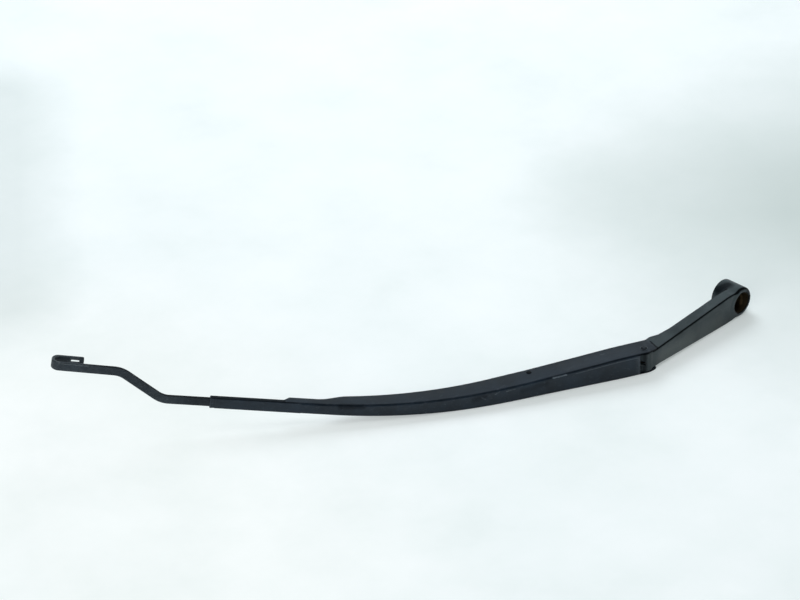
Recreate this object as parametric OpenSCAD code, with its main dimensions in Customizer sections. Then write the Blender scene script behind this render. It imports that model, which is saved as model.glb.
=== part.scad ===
// Windscreen wiper arm, folded down on its stop.
// Frame: the origin is on the spindle axis at the glass side face of the round end.
// +Z points away from the glass along the spindle, +X points from the spindle to the hinge.

// Which piece to draw

/* [Spindle end] */
// Outside diameter of the round end
drum_d = 31.5; // [28:0.5:36]
// Height of the round end from its glass side face
drum_h = 26.5; // [25:0.5:30]
// Chamfer on the outer rim of the round end
rim_chamfer = 1.2; // [0.6:0.1:1.6]
// Diameter of the recess for the spindle nut
recess_d = 22; // [20:0.5:23]
// Depth of the recess for the spindle nut
recess_depth = 12; // [10:0.5:13]
// Diameter of the straight part of the spindle bore
spindle_d = 11; // [8:0.5:12]
// Extra diameter of the spindle cone at the glass side face
cone_growth = 2; // [1:0.5:3]
// Height of the spindle cone
cone_h = 8; // [5:0.5:9]

/* [Head beam] */
// Width of the beam where it leaves the round end
beam_w = 30; // [28:0.5:32]
// Width of the beam at the knuckle
cheek_w = 19.2; // [17:0.2:20]
// Distance from the spindle axis to the hinge pin
hinge_x = 140.7; // [135:0.5:150]
// Height of the hinge pin above the glass side face
hinge_z = 20.1; // [19:0.1:21]
// Depth of the outer face of the beam below the top of the round end
beam_step = 0.2; // [0:0.1:1]
// Radius of the knuckle round the hinge pin
knuckle_r = 8.4; // [8:0.1:9]
// Height of the glass side face of the beam
beam_bottom = 13.2; // [11:0.2:14]
// Height of the glass side face of the lug that holds the spring pin
lug_bottom = 7.6; // [7:0.2:8]
// Thickness of the beam walls round the lightening pocket
pocket_wall = 3.6; // [3:0.2:4.5]
// Thickness of the rib between the two pockets
pocket_rib = 4; // [3:0.5:6]
// Gap between the spring link and each side of its slot
link_gap = 0.9; // [0.7:0.1:1.4]

/* [Hinge] */
// Diameter of the hinge pin
hinge_pin_d = 6; // [5:0.5:6.5]
// Wall thickness of the hinge bushes
bush_wall = 1; // [0.8:0.1:1.2]
// Radial clearance of the hinge pin in its bushes
pin_clearance = 0.04; // [0.02:0.01:0.08]
// Gap between each ear and the knuckle
ear_gap = 0.7; // [0.4:0.1:1]
// Angle by which the arm dips toward the glass when it is folded down
fold_angle = 25.5; // [20:0.5:30]

/* [Channel] */
// Thickness of the pressed sheet
sheet = 1.4; // [1.1:0.1:1.6]
// Height of the outer face of the channel above the hinge pin
web_h = 8.8; // [8.4:0.1:9.6]
// Depth of the channel at the hinge
channel_depth = 22.9; // [20:0.1:24]
// Depth of the channel just before its shallow end
shoulder_depth = 16.4; // [14:0.2:19]
// Depth of the shallow end of the channel
end_depth = 9.8; // [8:0.2:12]
// Width of the channel at the spring anchor
waist_w = 18; // [17:0.2:19]
// Distance along the channel from the hinge pin to the start of its outer face
web_start = 7.5; // [7:0.5:9]
// Distance along the channel from the hinge pin to the sleeve
channel_len = 362; // [350:1:380]
// Outside radius of the folded edges of the channel
fold_r = 2.2; // [1.8:0.1:2.6]
// Angle by which the channel arches toward the glass
arch_angle = 16.1; // [0:0.1:20]
// Angle by which the channel bends sideways
side_angle = 8.6; // [0:0.1:12]

/* [Sleeve and rod] */
// Length of the crimped sleeve past the channel
sleeve_len = 71; // [60:1:90]
// Width of the flat rod
rod_w = 9; // [8:0.5:10]
// Thickness of the flat rod
rod_t = 3; // [2.5:0.5:4]
// Length of bare rod between the sleeve and the joggle
bare_len = 38.5; // [30:0.5:60]
// Sideways step of the joggle
joggle = 28.3; // [18:0.1:34]
// Angle of the joggle
joggle_angle = 34.4; // [28:0.2:40]
// Centre line radius of the joggle bends
joggle_r = 22.6; // [16:0.2:26]
// Angle by which the hook shank still points to the side
hook_turn = 1.9; // [0:0.1:4]
// Length of the hook shank
hook_len = 52; // [45:0.5:75]
// Free gap inside the hook
hook_gap = 8.5; // [6:0.5:9.5]
// Length of the return leg of the hook
leg_len = 22.1; // [20:0.1:28]
// Length of the window in the return leg
window_len = 8; // [5:0.2:8.6]
// End of the leg to the window
window_from = 6; // [4:0.5:8]
// Width of the window in the return leg
window_w = 3.4; // [3:0.1:4]

/* [Spring] */
// Diameter of the spring pin in the head
spring_pin_d = 5; // [4:0.5:5.5]
// Diameter of the anchor pin in the channel
anchor_pin_d = 4; // [3:0.5:4.5]
// Distance along the channel from the hinge pin to the anchor pin
anchor_s = 117; // [110:1:118]
// Height of the anchor pin below the hinge pin
anchor_drop = 8.5; // [7:0.5:10]
// Thickness of the spring link
link_t = 2.6; // [2:0.1:2.8]
// Width of the strap of the spring link
link_w = 4.4; // [4:0.2:5]
// Outside diameter of the spring coils
spring_d = 8.6; // [8:0.2:9]
// Diameter of the spring wire
wire_d = 1.8; // [1.6:0.1:2]

/* [Hidden] */

cast_paint = [0.24, 0.26, 0.26];
sheet_paint = [0.19, 0.21, 0.24];
steel = [0.62, 0.63, 0.64];
bronze = [0.66, 0.50, 0.28];

round_fn = 64;
small_fn = 32;
cut = 1;                                   // how far a cutting body runs past a face

spindle_x = 0;
beam_top = drum_h - beam_step;             // height of the outer face at the round end
beam_from = 1;                             // the beam starts inside the round end
taper_to = hinge_x - 16;                   // the beam is parallel from here to the knuckle
beam_to = hinge_x - 0.5;
top_slope = (hinge_z + knuckle_r - 0.13 - beam_top) / (beam_to - 15);

slot_w = link_t + 2 * link_gap;            // slot in the head for the spring link
slot_roof = hinge_pin_d / 2 + 1.4;         // height of the roof of the slot above the hinge pin
slot_end = 54;                             // where the slot ends round the front of the knuckle, in degrees
pocket_from = 24;
pocket_to = 92;
rib_at = 58;                               // middle of the rib
roof_t = 4.2;                              // metal left over the pockets
ear_in = cheek_w / 2 + 0.2 + ear_gap;      // half the inside width of the channel at the hinge
hinge_w = 2 * (ear_in + sheet);            // outside width of the channel at the hinge
tip_w = rod_w + 2 * sheet + 0.2;           // outside width of the channel at the sleeve

spring_pin_x = hinge_x - 10.5;
spring_pin_z = hinge_z - 8.3;

/* The channel path: it runs straight, then arches and bends sideways, then runs straight again. */
arch_from = anchor_s + 2;
arch_to = channel_len - 27;
side_from = 155;
side_to = channel_len - 46;
straight_from = channel_len - 24;          // the path is straight again from here
bend_steps = 27;
bend_step = (straight_from - arch_from) / bend_steps;

function ramp(v, a, b) = max(0, min(1, (v - a) / (b - a)));
function mix(a, b, t) = a + (b - a) * t;
function pitch(s) = fold_angle + arch_angle * ramp(s, arch_from, arch_to);
function yaw(s) = side_angle * ramp(s, side_from, side_to);
function along(s) = [cos(yaw(s)) * cos(pitch(s)), -sin(yaw(s)), -cos(yaw(s)) * sin(pitch(s))];
function across(s) = [sin(yaw(s)) * cos(pitch(s)), cos(yaw(s)), -sin(yaw(s)) * sin(pitch(s))];
function upward(s) = [sin(pitch(s)), 0, cos(pitch(s))];

hinge_at = [hinge_x, 0, hinge_z];
// points on the path through the bent stretch, added up from short straight steps
bend_path = [for (i = 0, p = hinge_at + arch_from * along(0); i <= bend_steps;
                  p = p + bend_step * along(arch_from + (i + 0.5) * bend_step), i = i + 1) p];
tail_at = bend_path[bend_steps];           // the path point where the straight tail begins

function path_at(s) =
    s <= arch_from ? hinge_at + s * along(0) :
    s >= straight_from ? tail_at + (s - straight_from) * along(s) :
    let (f = (s - arch_from) / bend_step, i = floor(f))
        mix(bend_path[i], bend_path[min(i + 1, bend_steps)], f - i);

function place(s, l, h) = path_at(s) + l * across(s) + h * upward(s);

/* Outside width and side depth of the channel at a distance along it. */
function width_at(s) =
    s < 30 ? hinge_w :
    s < anchor_s ? mix(hinge_w, waist_w, pow(ramp(s, 30, anchor_s), 0.9)) :
    mix(waist_w, tip_w, ramp(s, anchor_s, channel_len - 40));
shoulder_at = channel_len - 62;            // the sides slope from here down to the shallow end
shallow_at = channel_len - 32;
slant = 5;                                 // length of the slanted end of the sides
last_depth = rod_t + 2 * sheet - 0.1;      // the sides end level with the sleeve
function smooth(t) = t * t * (3 - 2 * t);
function depth_at(s) =
    s < 140 ? channel_depth :
    s < shoulder_at ? mix(channel_depth, shoulder_depth, ramp(s, 140, shoulder_at)) :
    s < shallow_at ? mix(shoulder_depth, end_depth, smooth(ramp(s, shoulder_at, shallow_at))) :
    mix(end_depth, last_depth, ramp(s, channel_len - slant, channel_len));

/* Skins a row of rings with the same number of points; the ends are closed with the given cap. */
module skin(rings, cap) {
    n = len(rings[0]);
    m = len(rings);
    polyhedron(
        points = [for (r = rings) each r],
        faces = concat(
            [for (i = [0 : m - 2], j = [0 : n - 1])
                [i * n + j, i * n + (j + 1) % n, (i + 1) * n + j]],
            [for (i = [0 : m - 2], j = [0 : n - 1])
                [i * n + (j + 1) % n, (i + 1) * n + (j + 1) % n, (i + 1) * n + j]],
            [for (t = cap) [t[2], t[1], t[0]]],
            [for (t = cap) [for (k = t) k + (m - 1) * n]]));
}

function fan_cap(n) = [for (j = [1 : n - 2]) [0, j, j + 1]];
// cap of a U ring: the outside points 0..k-1 face the inside points 2k-1..k
function band_cap(k) = [for (j = [0 : k - 2], t = [0, 1])
    t == 0 ? [j, j + 1, 2 * k - 2 - j] : [j, 2 * k - 2 - j, 2 * k - 1 - j]];

/* A U section: outside points from one lip over the web to the other, then back inside. */
corner_n = 5;
function u_side(hw, lo, hi, r) = concat(
    [[-hw, lo]],
    [for (k = [0 : corner_n]) let (a = 180 - 90 * k / corner_n) [-hw + r + r * cos(a), hi - r + r * sin(a)]],
    [for (k = [0 : corner_n]) let (a = 90 - 90 * k / corner_n) [hw - r + r * cos(a), hi - r + r * sin(a)]],
    [[hw, lo]]);
function u_ring(s) =
    let (hw = width_at(s) / 2, lo = web_h - depth_at(s),
         outer = u_side(hw, lo, web_h, fold_r),
         inner = u_side(hw - sheet, lo, web_h - sheet, fold_r - sheet + 0.1),
         k = len(outer),
         ring = concat(outer, [for (j = [0 : k - 1]) inner[k - 1 - j]]))
        [for (p = ring) place(s, p[0], p[1])];

/* A rounded rectangle given by its four sides, with one corner radius above and one below. */
function box_ring(x, hw, lo, hi, r1, r2) = concat(
    [for (k = [0 : 4]) let (a = 180 - 22.5 * k) [x, -hw + r1 + r1 * cos(a), hi - r1 + r1 * sin(a)]],
    [for (k = [0 : 4]) let (a = 90 - 22.5 * k) [x, hw - r1 + r1 * cos(a), hi - r1 + r1 * sin(a)]],
    [for (k = [0 : 4]) let (a = -22.5 * k) [x, hw - r2 + r2 * cos(a), lo + r2 + r2 * sin(a)]],
    [for (k = [0 : 4]) let (a = -90 - 22.5 * k) [x, -hw + r2 + r2 * cos(a), lo + r2 + r2 * sin(a)]]);

/* Beam of the head: half width and glass side height at a distance from the spindle. */
function beam_hw(x) =
    x < 12 ? mix(beam_w / 2 - 1.5, beam_w / 2, ramp(x, beam_from, 12)) :
    mix(beam_w / 2, cheek_w / 2, ramp(x, 22, taper_to));
lug_from = hinge_x - 22;
lug_to = hinge_x - 7;
function beam_lo(x) =
    x <= lug_to ? mix(mix(beam_bottom, beam_bottom - 1.6, ramp(x, 95, 108)), lug_bottom, ramp(x, lug_from - 9, lug_from)) :
    mix(lug_bottom, hinge_z - knuckle_r + 1.5, ramp(x, lug_to, beam_to));
beam_stations = [beam_from, 6, 12, 22, 60, 95, 108, lug_from - 9, lug_from - 4, lug_from,
                 taper_to, lug_to, lug_to + 3.5, beam_to];

module mounting_head() {
    color(cast_paint)
    difference() {
        union() {
            rotate_extrude($fn = round_fn)
                polygon([[0, 0], [drum_d / 2 - 0.6, 0], [drum_d / 2, 0.6], [drum_d / 2, drum_h - rim_chamfer],
                         [drum_d / 2 - rim_chamfer, drum_h], [0, drum_h]]);
            skin([for (x = beam_stations)
                    box_ring(x, beam_hw(x), beam_lo(x), beam_top + top_slope * (x - 15), 2, 2.4)], fan_cap(20));
            translate(hinge_at) rotate([90, 0, 0])
                cylinder(h = cheek_w + 0.4, r = knuckle_r, center = true, $fn = round_fn);
        }
        // spindle bore with its cone, and the recess for the nut
        translate([spindle_x, 0, -cut]) cylinder(h = drum_h, d = spindle_d, $fn = round_fn);
        translate([spindle_x, 0, -cut])
            cylinder(h = cone_h + cut, d1 = spindle_d + cone_growth * (1 + cut / cone_h), d2 = spindle_d, $fn = round_fn);
        translate([spindle_x, 0, drum_h - recess_depth]) cylinder(h = recess_depth + cut, d = recess_d, $fn = round_fn);
        // two lightening pockets under the beam, with a rib between them
        for (p = [[pocket_from, rib_at - pocket_rib / 2], [rib_at + pocket_rib / 2, pocket_to]])
            translate([0, 0, -cut]) linear_extrude(height = beam_top - roof_t + cut)
                polygon([[p[0], -beam_hw(p[0]) + pocket_wall], [p[1], -beam_hw(p[1]) + pocket_wall],
                         [p[1], beam_hw(p[1]) - pocket_wall], [p[0], beam_hw(p[0]) - pocket_wall]]);
        // slot for the spring link: under a roof, and open at the front up to the link's highest place
        translate([lug_from - 10, -slot_w / 2, -cut]) cube([60, slot_w, hinge_z + slot_roof + cut]);
        translate(hinge_at) rotate([0, -slot_end, 0]) translate([0, -slot_w / 2, -40]) cube([40, slot_w, 40]);
        // bores for the bushes and the spring pin
        translate(hinge_at) rotate([90, 0, 0])
            cylinder(h = 60, d = hinge_pin_d + 2 * pin_clearance + 2 * bush_wall, center = true, $fn = small_fn);
        translate([spring_pin_x, 0, spring_pin_z]) rotate([90, 0, 0])
            cylinder(h = 60, d = spring_pin_d, center = true, $fn = small_fn);
    }
}

module hinge_bush(side) {
    color(bronze)
    translate([hinge_x, side * (slot_w / 2 + (cheek_w + 0.4) / 2) / 2, hinge_z]) rotate([90, 0, 0])
        difference() {
            cylinder(h = (cheek_w + 0.4 - slot_w) / 2, d = hinge_pin_d + 2 * pin_clearance + 2 * bush_wall,
                     center = true, $fn = small_fn);
            cylinder(h = 60, d = hinge_pin_d + 2 * pin_clearance, center = true, $fn = small_fn);
        }
}

module hinge_bush_a() { hinge_bush(-1); }

module hinge_bush_b() { hinge_bush(1); }

module spring_pin() {
    color(steel)
    translate([spring_pin_x, 0, spring_pin_z]) rotate([90, 0, 0])
        cylinder(h = cheek_w - 0.4, d = spring_pin_d, center = true, $fn = small_fn);
}

/* Moves a body drawn in the hinge frame (x along the channel, y across, z outward) into place. */
module in_hinge_frame() { translate(hinge_at) rotate([0, fold_angle, 0]) children(); }

/* Moves a body drawn in the tail frame into place; x is measured from the end of the channel. */
module in_tail_frame() {
    t = along(channel_len);
    l = across(channel_len);
    n = upward(channel_len);
    p = path_at(channel_len);
    multmatrix([[t[0], l[0], n[0], p[0]], [t[1], l[1], n[1], p[1]], [t[2], l[2], n[2], p[2]], [0, 0, 0, 1]])
        children();
}

ear_back = -12;                            // how far the ears reach behind the hinge pin
channel_stations = concat(
    [ear_back - 1, web_start, 30],
    [for (k = [1 : 10]) mix(30, arch_from, k / 10)],
    [for (k = [1 : bend_steps]) arch_from + k * bend_step],
    [channel_len - 12, channel_len - slant, channel_len]);

rod_top = web_h - sheet;                   // height of the outer face of the rod over the path
rod_mid = rod_top - rod_t / 2;

module retainer_channel() {
    color(sheet_paint)
    difference() {
        union() {
            skin([for (s = channel_stations) u_ring(s)], band_cap(2 * corner_n + 4));
            // crimped sleeve, closed round the rod
            in_tail_frame() translate([-16, 0, rod_mid]) rotate([90, 0, 90])
                linear_extrude(height = sleeve_len + 16) polygon(
                    [for (c = [[1, 1, 0], [-1, 1, 90], [-1, -1, 180], [1, -1, 270]], k = [0 : 4])
                        let (r = 1.4, a = c[2] + 22.5 * k)
                        [c[0] * (rod_w / 2 + sheet - r) + r * cos(a), c[1] * (rod_t / 2 + sheet - 0.05 - r) + r * sin(a)]]);
        }
        in_tail_frame() translate([-30, -rod_w / 2, rod_mid - rod_t / 2]) cube([sleeve_len + 60, rod_w, rod_t]);
        // the outer face starts past the knuckle, the ears run on behind the hinge pin
        in_hinge_frame() translate([-40, -ear_in, web_h - fold_r - 0.4]) cube([40 + web_start, 2 * ear_in, 20]);
        in_hinge_frame() rotate([90, 0, 0]) linear_extrude(height = 60, center = true)
            polygon([[-40, 30], [0.5, 30], [0, web_h], [ear_back, 4.1], [ear_back + 3, web_h - channel_depth - cut],
                     [-40, web_h - channel_depth - cut]]);
        in_hinge_frame() rotate([90, 0, 0]) cylinder(h = 60, d = hinge_pin_d, center = true, $fn = small_fn);
        in_hinge_frame() translate([anchor_s, 0, -anchor_drop]) rotate([90, 0, 0])
            cylinder(h = 60, d = anchor_pin_d, center = true, $fn = small_fn);
    }
}

/* A riveted pin: a shank between two low heads that lie on the outside of the channel. */
module rivet(d, width, head_d, head_h) {
    rotate([90, 0, 0]) rotate_extrude($fn = small_fn)
        polygon([[0, -width / 2 - head_h], [head_d / 2 - head_h, -width / 2 - head_h],
                 [head_d / 2, -width / 2 - head_h / 3], [head_d / 2, -width / 2], [d / 2, -width / 2],
                 [d / 2, width / 2], [head_d / 2, width / 2], [head_d / 2, width / 2 + head_h / 3],
                 [head_d / 2 - head_h, width / 2 + head_h], [0, width / 2 + head_h]]);
}

module hinge_pin() {
    color(steel)
    in_hinge_frame() rivet(hinge_pin_d, hinge_w, hinge_pin_d + 1.6, 0.9);
}

module anchor_pin() {
    color(steel)
    in_hinge_frame() translate([anchor_s, 0, -anchor_drop]) rivet(anchor_pin_d, waist_w, anchor_pin_d + 1.4, 0.5);
}

/* Rod: a list of frames [x, y, z, turn in plan, turn in side view, width] in the tail frame. */
jog_rise = joggle - joggle_r * (1 + cos(hook_turn) - 2 * cos(joggle_angle));
jog_straight = jog_rise / sin(joggle_angle);
jog_from = sleeve_len + bare_len;
jog_mid1 = [jog_from + joggle_r * sin(joggle_angle), -joggle_r * (1 - cos(joggle_angle))];
jog_mid2 = [jog_mid1[0] + jog_straight * cos(joggle_angle), jog_mid1[1] - jog_rise];
jog_to = jog_mid2[0] + joggle_r * (sin(joggle_angle) - sin(hook_turn));
hook_r = (hook_gap + rod_t) / 2;           // centre line radius of the hook bend
tip_r = 1.4;                               // corner radius of the end of the return leg
// a frame on the hook, at a distance along its shank and a height, with its turn in side view and its width
function hook_frame(u, z, b, w) = [jog_to + u * cos(hook_turn), -joggle - u * sin(hook_turn), z, hook_turn, b, w];
rod_frames = concat(
    [[-22, 0, rod_mid, 0, 0, rod_w]],
    [for (k = [0 : 8]) let (a = joggle_angle * k / 8)
        [jog_from + joggle_r * sin(a), -joggle_r * (1 - cos(a)), rod_mid, a, 0, rod_w]],
    [for (k = [0 : 8]) let (a = mix(joggle_angle, hook_turn, k / 8))
        [jog_mid2[0] + joggle_r * (sin(joggle_angle) - sin(a)), jog_mid2[1] - joggle_r * (cos(a) - cos(joggle_angle)),
         rod_mid, a, 0, rod_w]],
    [for (k = [0 : 16]) let (a = 180 * k / 16)
        hook_frame(hook_len + hook_r * sin(a), rod_mid - hook_r * (1 - cos(a)), a, rod_w)],
    [for (k = [0 : 5]) let (a = 18 * k)
        hook_frame(hook_len - leg_len + tip_r * (1 - sin(a)), rod_mid - 2 * hook_r, 180, rod_w - 2 * tip_r * (1 - cos(a)))]);
edge_r = 0.6;                              // small bevel along the edges of the rod
function rod_ring(f) =
    let (l = [sin(f[3]), cos(f[3]), 0], n = [sin(f[4]) * cos(f[3]), -sin(f[4]) * sin(f[3]), cos(f[4])],
         hw = f[5] / 2, e = edge_r, ht = rod_t / 2)
    [for (q = [[-hw, ht - e], [-hw + e, ht], [hw - e, ht], [hw, ht - e], [hw, -ht + e], [hw - e, -ht], [-hw + e, -ht], [-hw, -ht + e]])
        [f[0], f[1], f[2]] + q[0] * l + q[1] * n];

module wiper_rod() {
    color(sheet_paint)
    in_tail_frame() difference() {
        skin([for (f = rod_frames) rod_ring(f)], fan_cap(8));
        translate([jog_to, -joggle, 0]) rotate([0, 0, -hook_turn])
            translate([hook_len - leg_len + window_from, -window_w / 2, rod_mid - 2 * hook_r - rod_t])
                cube([window_len, window_w, 2 * rod_t]);
    }
}

/* Spring line: from the spring pin in the head to the anchor pin in the channel. */
anchor_at = place(anchor_s, 0, -anchor_drop);
line_dx = anchor_at[0] - spring_pin_x;
line_dz = anchor_at[2] - spring_pin_z;
line_len = sqrt(line_dx * line_dx + line_dz * line_dz);
line_angle = atan2(-line_dz, line_dx);     // how far the line dips toward the glass
bow_x = 13;                                // middle of the bow of the link
bow_r = 6.4 + link_w / 2;                  // centre line radius of the bow
tab_x = 28;                                // hole for the spring hook

module in_spring_frame() { translate([spring_pin_x, 0, spring_pin_z]) rotate([0, line_angle, 0]) children(); }

bow_points = [for (k = [0 : 14]) let (a = 184 + 172 * k / 14) [bow_x, -0.4] + bow_r * [cos(a), sin(a)]];
bow_outline = concat(
    [[0, 2.2]],
    [for (k = [0 : 14]) let (a = 184 + 172 * k / 14) [bow_x, -0.4] + (bow_r - link_w / 2) * [cos(a), sin(a)]],
    [[tab_x - 2, 3], [tab_x, -3]],
    [for (k = [0 : 14]) let (a = 356 - 172 * k / 14) [bow_x, -0.4] + (bow_r + link_w / 2) * [cos(a), sin(a)]]);

module spring_link() {
    color(steel)
    in_spring_frame() difference() {
        rotate([90, 0, 0]) union() {
            linear_extrude(height = link_t, center = true) polygon(bow_outline);
            cylinder(h = link_t, d = spring_pin_d + 4, center = true, $fn = small_fn);
            translate([tab_x, 0, 0]) cylinder(h = link_t, d = 7, center = true, $fn = small_fn);
        }
        rotate([90, 0, 0]) cylinder(h = 20, d = spring_pin_d + 0.1, center = true, $fn = small_fn);
        translate([tab_x, 0, 0]) rotate([90, 0, 0]) cylinder(h = 20, d = wire_d + 1, center = true, $fn = small_fn);
    }
}

/* Spring: closed coils with a full loop at each end, one round the link and one round the pin. */
loop_r = 3.4;                              // centre line radius of the end loops
near_loop_x = tab_x + loop_r;
far_loop_x = line_len + anchor_pin_d / 2 + 0.1 - loop_r + wire_d / 2;
coil_from = near_loop_x + 2.1;
coils = floor((far_loop_x - 2.5 - coil_from) / wire_d);
groove = wire_d / 4;
collar = 1.5 * wire_d;                     // plain end of the coils, where the loops are bent out

module wire_loop() { rotate_extrude($fn = small_fn) translate([loop_r, 0]) circle(d = wire_d, $fn = 20); }

module tension_spring() {
    far_collar = (coils - 1.5) * wire_d;
    color(steel)
    in_spring_frame() union() {
        translate([coil_from, 0, 0]) rotate([0, 90, 0]) rotate_extrude($fn = 20)
            polygon(concat(
                [[spring_d / 2 - wire_d, 0], [spring_d / 2 - groove, 0], [spring_d / 2, groove]],
                [for (k = [1 : coils - 3]) each [[spring_d / 2, (k + 0.5) * wire_d], [spring_d / 2 - groove, (k + 1) * wire_d]]],
                [[spring_d / 2, far_collar], [spring_d / 2, far_collar + collar - groove],
                 [spring_d / 2 - groove, far_collar + collar], [spring_d / 2 - wire_d, far_collar + collar]]));
        translate([near_loop_x, 0, 0]) wire_loop();
        translate([far_loop_x, 0, 0]) rotate([90, 0, 0]) wire_loop();
    }
}

mounting_head();
hinge_bush_a();
hinge_bush_b();
spring_pin();
retainer_channel();
hinge_pin();
anchor_pin();
wiper_rod();
spring_link();
tension_spring();
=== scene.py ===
# %% [markdown]
# # A windscreen wiper arm, dressed for its picture
# The part comes from the CAD step as a fixed frame in metres. This lesson leaves that frame where it is
# and lays finer surfaces over it: rounded castings, folded sheet, wound wire and paint that has seen use.
# The frame's origin is on the spindle axis, +Z points away from the glass and +X towards the hinge.

import math

import bmesh
import bpy
import numpy as np
from mathutils import Matrix


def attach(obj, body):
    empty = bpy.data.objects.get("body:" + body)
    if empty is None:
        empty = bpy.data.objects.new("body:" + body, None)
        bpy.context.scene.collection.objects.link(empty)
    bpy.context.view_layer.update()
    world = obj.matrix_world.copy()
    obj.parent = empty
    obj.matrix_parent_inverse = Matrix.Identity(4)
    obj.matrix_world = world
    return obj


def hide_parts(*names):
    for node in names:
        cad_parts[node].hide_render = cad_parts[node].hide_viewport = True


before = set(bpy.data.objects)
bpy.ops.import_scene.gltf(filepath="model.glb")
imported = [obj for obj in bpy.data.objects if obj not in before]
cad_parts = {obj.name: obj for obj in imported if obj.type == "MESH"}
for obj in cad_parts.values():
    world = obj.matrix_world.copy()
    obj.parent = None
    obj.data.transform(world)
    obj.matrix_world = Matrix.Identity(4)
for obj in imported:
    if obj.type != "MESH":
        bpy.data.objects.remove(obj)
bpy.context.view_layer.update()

# %% [markdown]
# ## Real sizes
# Every length below is the real one in millimetres, the same as in the CAD source. Shapes are worked out in
# millimetres too, because such numbers are easy to read, and are turned to metres only when a mesh is made.

# %% Sizes of the arm in millimetres
DRUM_R, DRUM_H = 15.75, 26.5
RECESS_R, RECESS_DEPTH = 11.0, 12.0
SPINDLE_R, CONE_R, CONE_H = 5.5, 6.5, 8.0
HINGE = np.array([140.7, 0.0, 20.1])
CHEEK_W, KNUCKLE_R = 19.2, 8.4
LINK_T, LINK_GAP = 2.6, 0.9
SLOT_W = LINK_T + 2 * LINK_GAP
HINGE_PIN_D, SPRING_PIN_D, ANCHOR_PIN_D = 6.0, 5.0, 4.0
FOLD_ANGLE, ARCH_ANGLE, SIDE_ANGLE = 25.5, 16.1, 8.6
SHEET, WEB_H, FOLD_R = 1.4, 8.8, 2.2
CHANNEL_DEPTH, SHOULDER_DEPTH, END_DEPTH, WAIST_W = 22.9, 16.4, 9.8, 18.0
WEB_START, CHANNEL_LEN, SLEEVE_LEN = 7.5, 362.0, 71.0
ANCHOR_S, ANCHOR_DROP = 117.0, 8.5
ROD_W, ROD_T = 9.0, 3.0
BARE_LEN, JOGGLE, JOGGLE_ANGLE, JOGGLE_R, HOOK_TURN = 38.5, 28.3, 34.4, 22.6, 1.9
HOOK_LEN, HOOK_GAP, LEG_LEN, TIP_R = 52.0, 8.5, 23.6, 1.4
WINDOW_LEN, WINDOW_W, WINDOW_FROM = 8.0, 3.4, 4.2
SPRING_D, WIRE_D, LINK_W = 8.6, 1.8, 4.4
KNUCKLE_PROUD, EAR_GAP = 0.2, 0.7          # the knuckle stands out of the cheeks, and clears the ears
BUSH_IN = HINGE_PIN_D / 2 + 0.04
BUSH_OUT = BUSH_IN + 1.0
EAR_IN = CHEEK_W / 2 + KNUCKLE_PROUD + EAR_GAP
HINGE_W = 2 * (EAR_IN + SHEET)
TIP_W = ROD_W + 2 * SHEET + 0.2
EAR_BACK = -12.0
MM = 0.001

# %% [markdown]
# ## The path of the channel
# The pressed channel runs straight from the hinge, then arches towards the glass and bends sideways, then
# runs straight again into its sleeve. One could draw that as a curve object by hand. Here the direction at
# each distance is written as two angles, pitch and yaw, that grow along straight ramps, and the path is the
# running sum of the directions. A sum over a fine grid needs no loop in numpy.

# %% Path of the channel
ARCH_FROM, ARCH_TO = ANCHOR_S + 2, CHANNEL_LEN - 27
SIDE_FROM, SIDE_TO = 155.0, CHANNEL_LEN - 46


def ramp(v, a, b):
    """0 before a, 1 after b, and a straight line between them."""
    return np.clip((np.asarray(v, float) - a) / (b - a), 0, 1)


def mix(a, b, t):
    """The share t of the way from a to b."""
    return a + (b - a) * t


def directions(s):
    """Three unit vectors at each distance s: along the channel, across it and out of its face.
    Pitch p turns the path down towards the glass and yaw y turns it sideways:
    along = (cos y cos p, -sin y, -cos y sin p), out = (sin p, 0, cos p), across = out x along."""
    p = np.radians(FOLD_ANGLE + ARCH_ANGLE * ramp(s, ARCH_FROM, ARCH_TO))
    y = np.radians(SIDE_ANGLE * ramp(s, SIDE_FROM, SIDE_TO))
    along = np.stack([np.cos(y) * np.cos(p), -np.sin(y), -np.cos(y) * np.sin(p)], -1)
    across = np.stack([np.sin(y) * np.cos(p), np.cos(y), -np.sin(y) * np.sin(p)], -1)
    out = np.stack([np.sin(p), 0 * p, np.cos(p)], -1)
    return along, across, out


PATH_FROM, PATH_TO, PATH_STEP = -20.0, 460.0, 0.25      # distances from the hinge pin
path_s = np.arange(PATH_FROM, PATH_TO, PATH_STEP)
path_moves = directions(path_s + PATH_STEP / 2)[0] * PATH_STEP
path_xyz = np.vstack([np.zeros(3), np.cumsum(path_moves, 0)])[:-1]
path_xyz += HINGE - np.array([np.interp(0.0, path_s, path_xyz[:, k]) for k in range(3)])


def along_channel(s, across_mm, out_mm):
    """Points at distance s along the channel, moved across it and out of its face."""
    s, across_mm, out_mm = np.broadcast_arrays(np.asarray(s, float), across_mm, out_mm)
    base = np.stack([np.interp(s, path_s, path_xyz[:, k]) for k in range(3)], -1)
    _, across, out = directions(s)
    return base + across * across_mm[..., None] + out * out_mm[..., None]


print("end of the channel, mm:", np.round(along_channel(CHANNEL_LEN, 0.0, 0.0), 2))

# %% [markdown]
# ## From a grid of points to a mesh
# Nearly every piece is a grid: rings of points, one after the other. `grid_faces` joins neighbours into
# quads, `new_mesh` turns millimetres into metres and `add_object` makes the object. `seat` then lets it ride on
# a body of the frame and hides the CAD nodes it stands for. Soft edges get shared normals, sharp ones don't.

# %% Helpers that make a mesh
def grid_faces(rings, points):
    """Quads of a grid of rings x points, where the last point of a ring joins its first.
    The quad at ring i and point j has the corners (i, j), (i, j+1), (i+1, j+1) and (i+1, j)."""
    i = np.arange(rings - 1)[:, None]
    j = np.arange(points)[None, :]
    k = (j + 1) % points
    quads = np.stack([i * points + j, i * points + k, (i + 1) * points + k, (i + 1) * points + j], -1)
    return quads.reshape(-1, 4)


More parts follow.
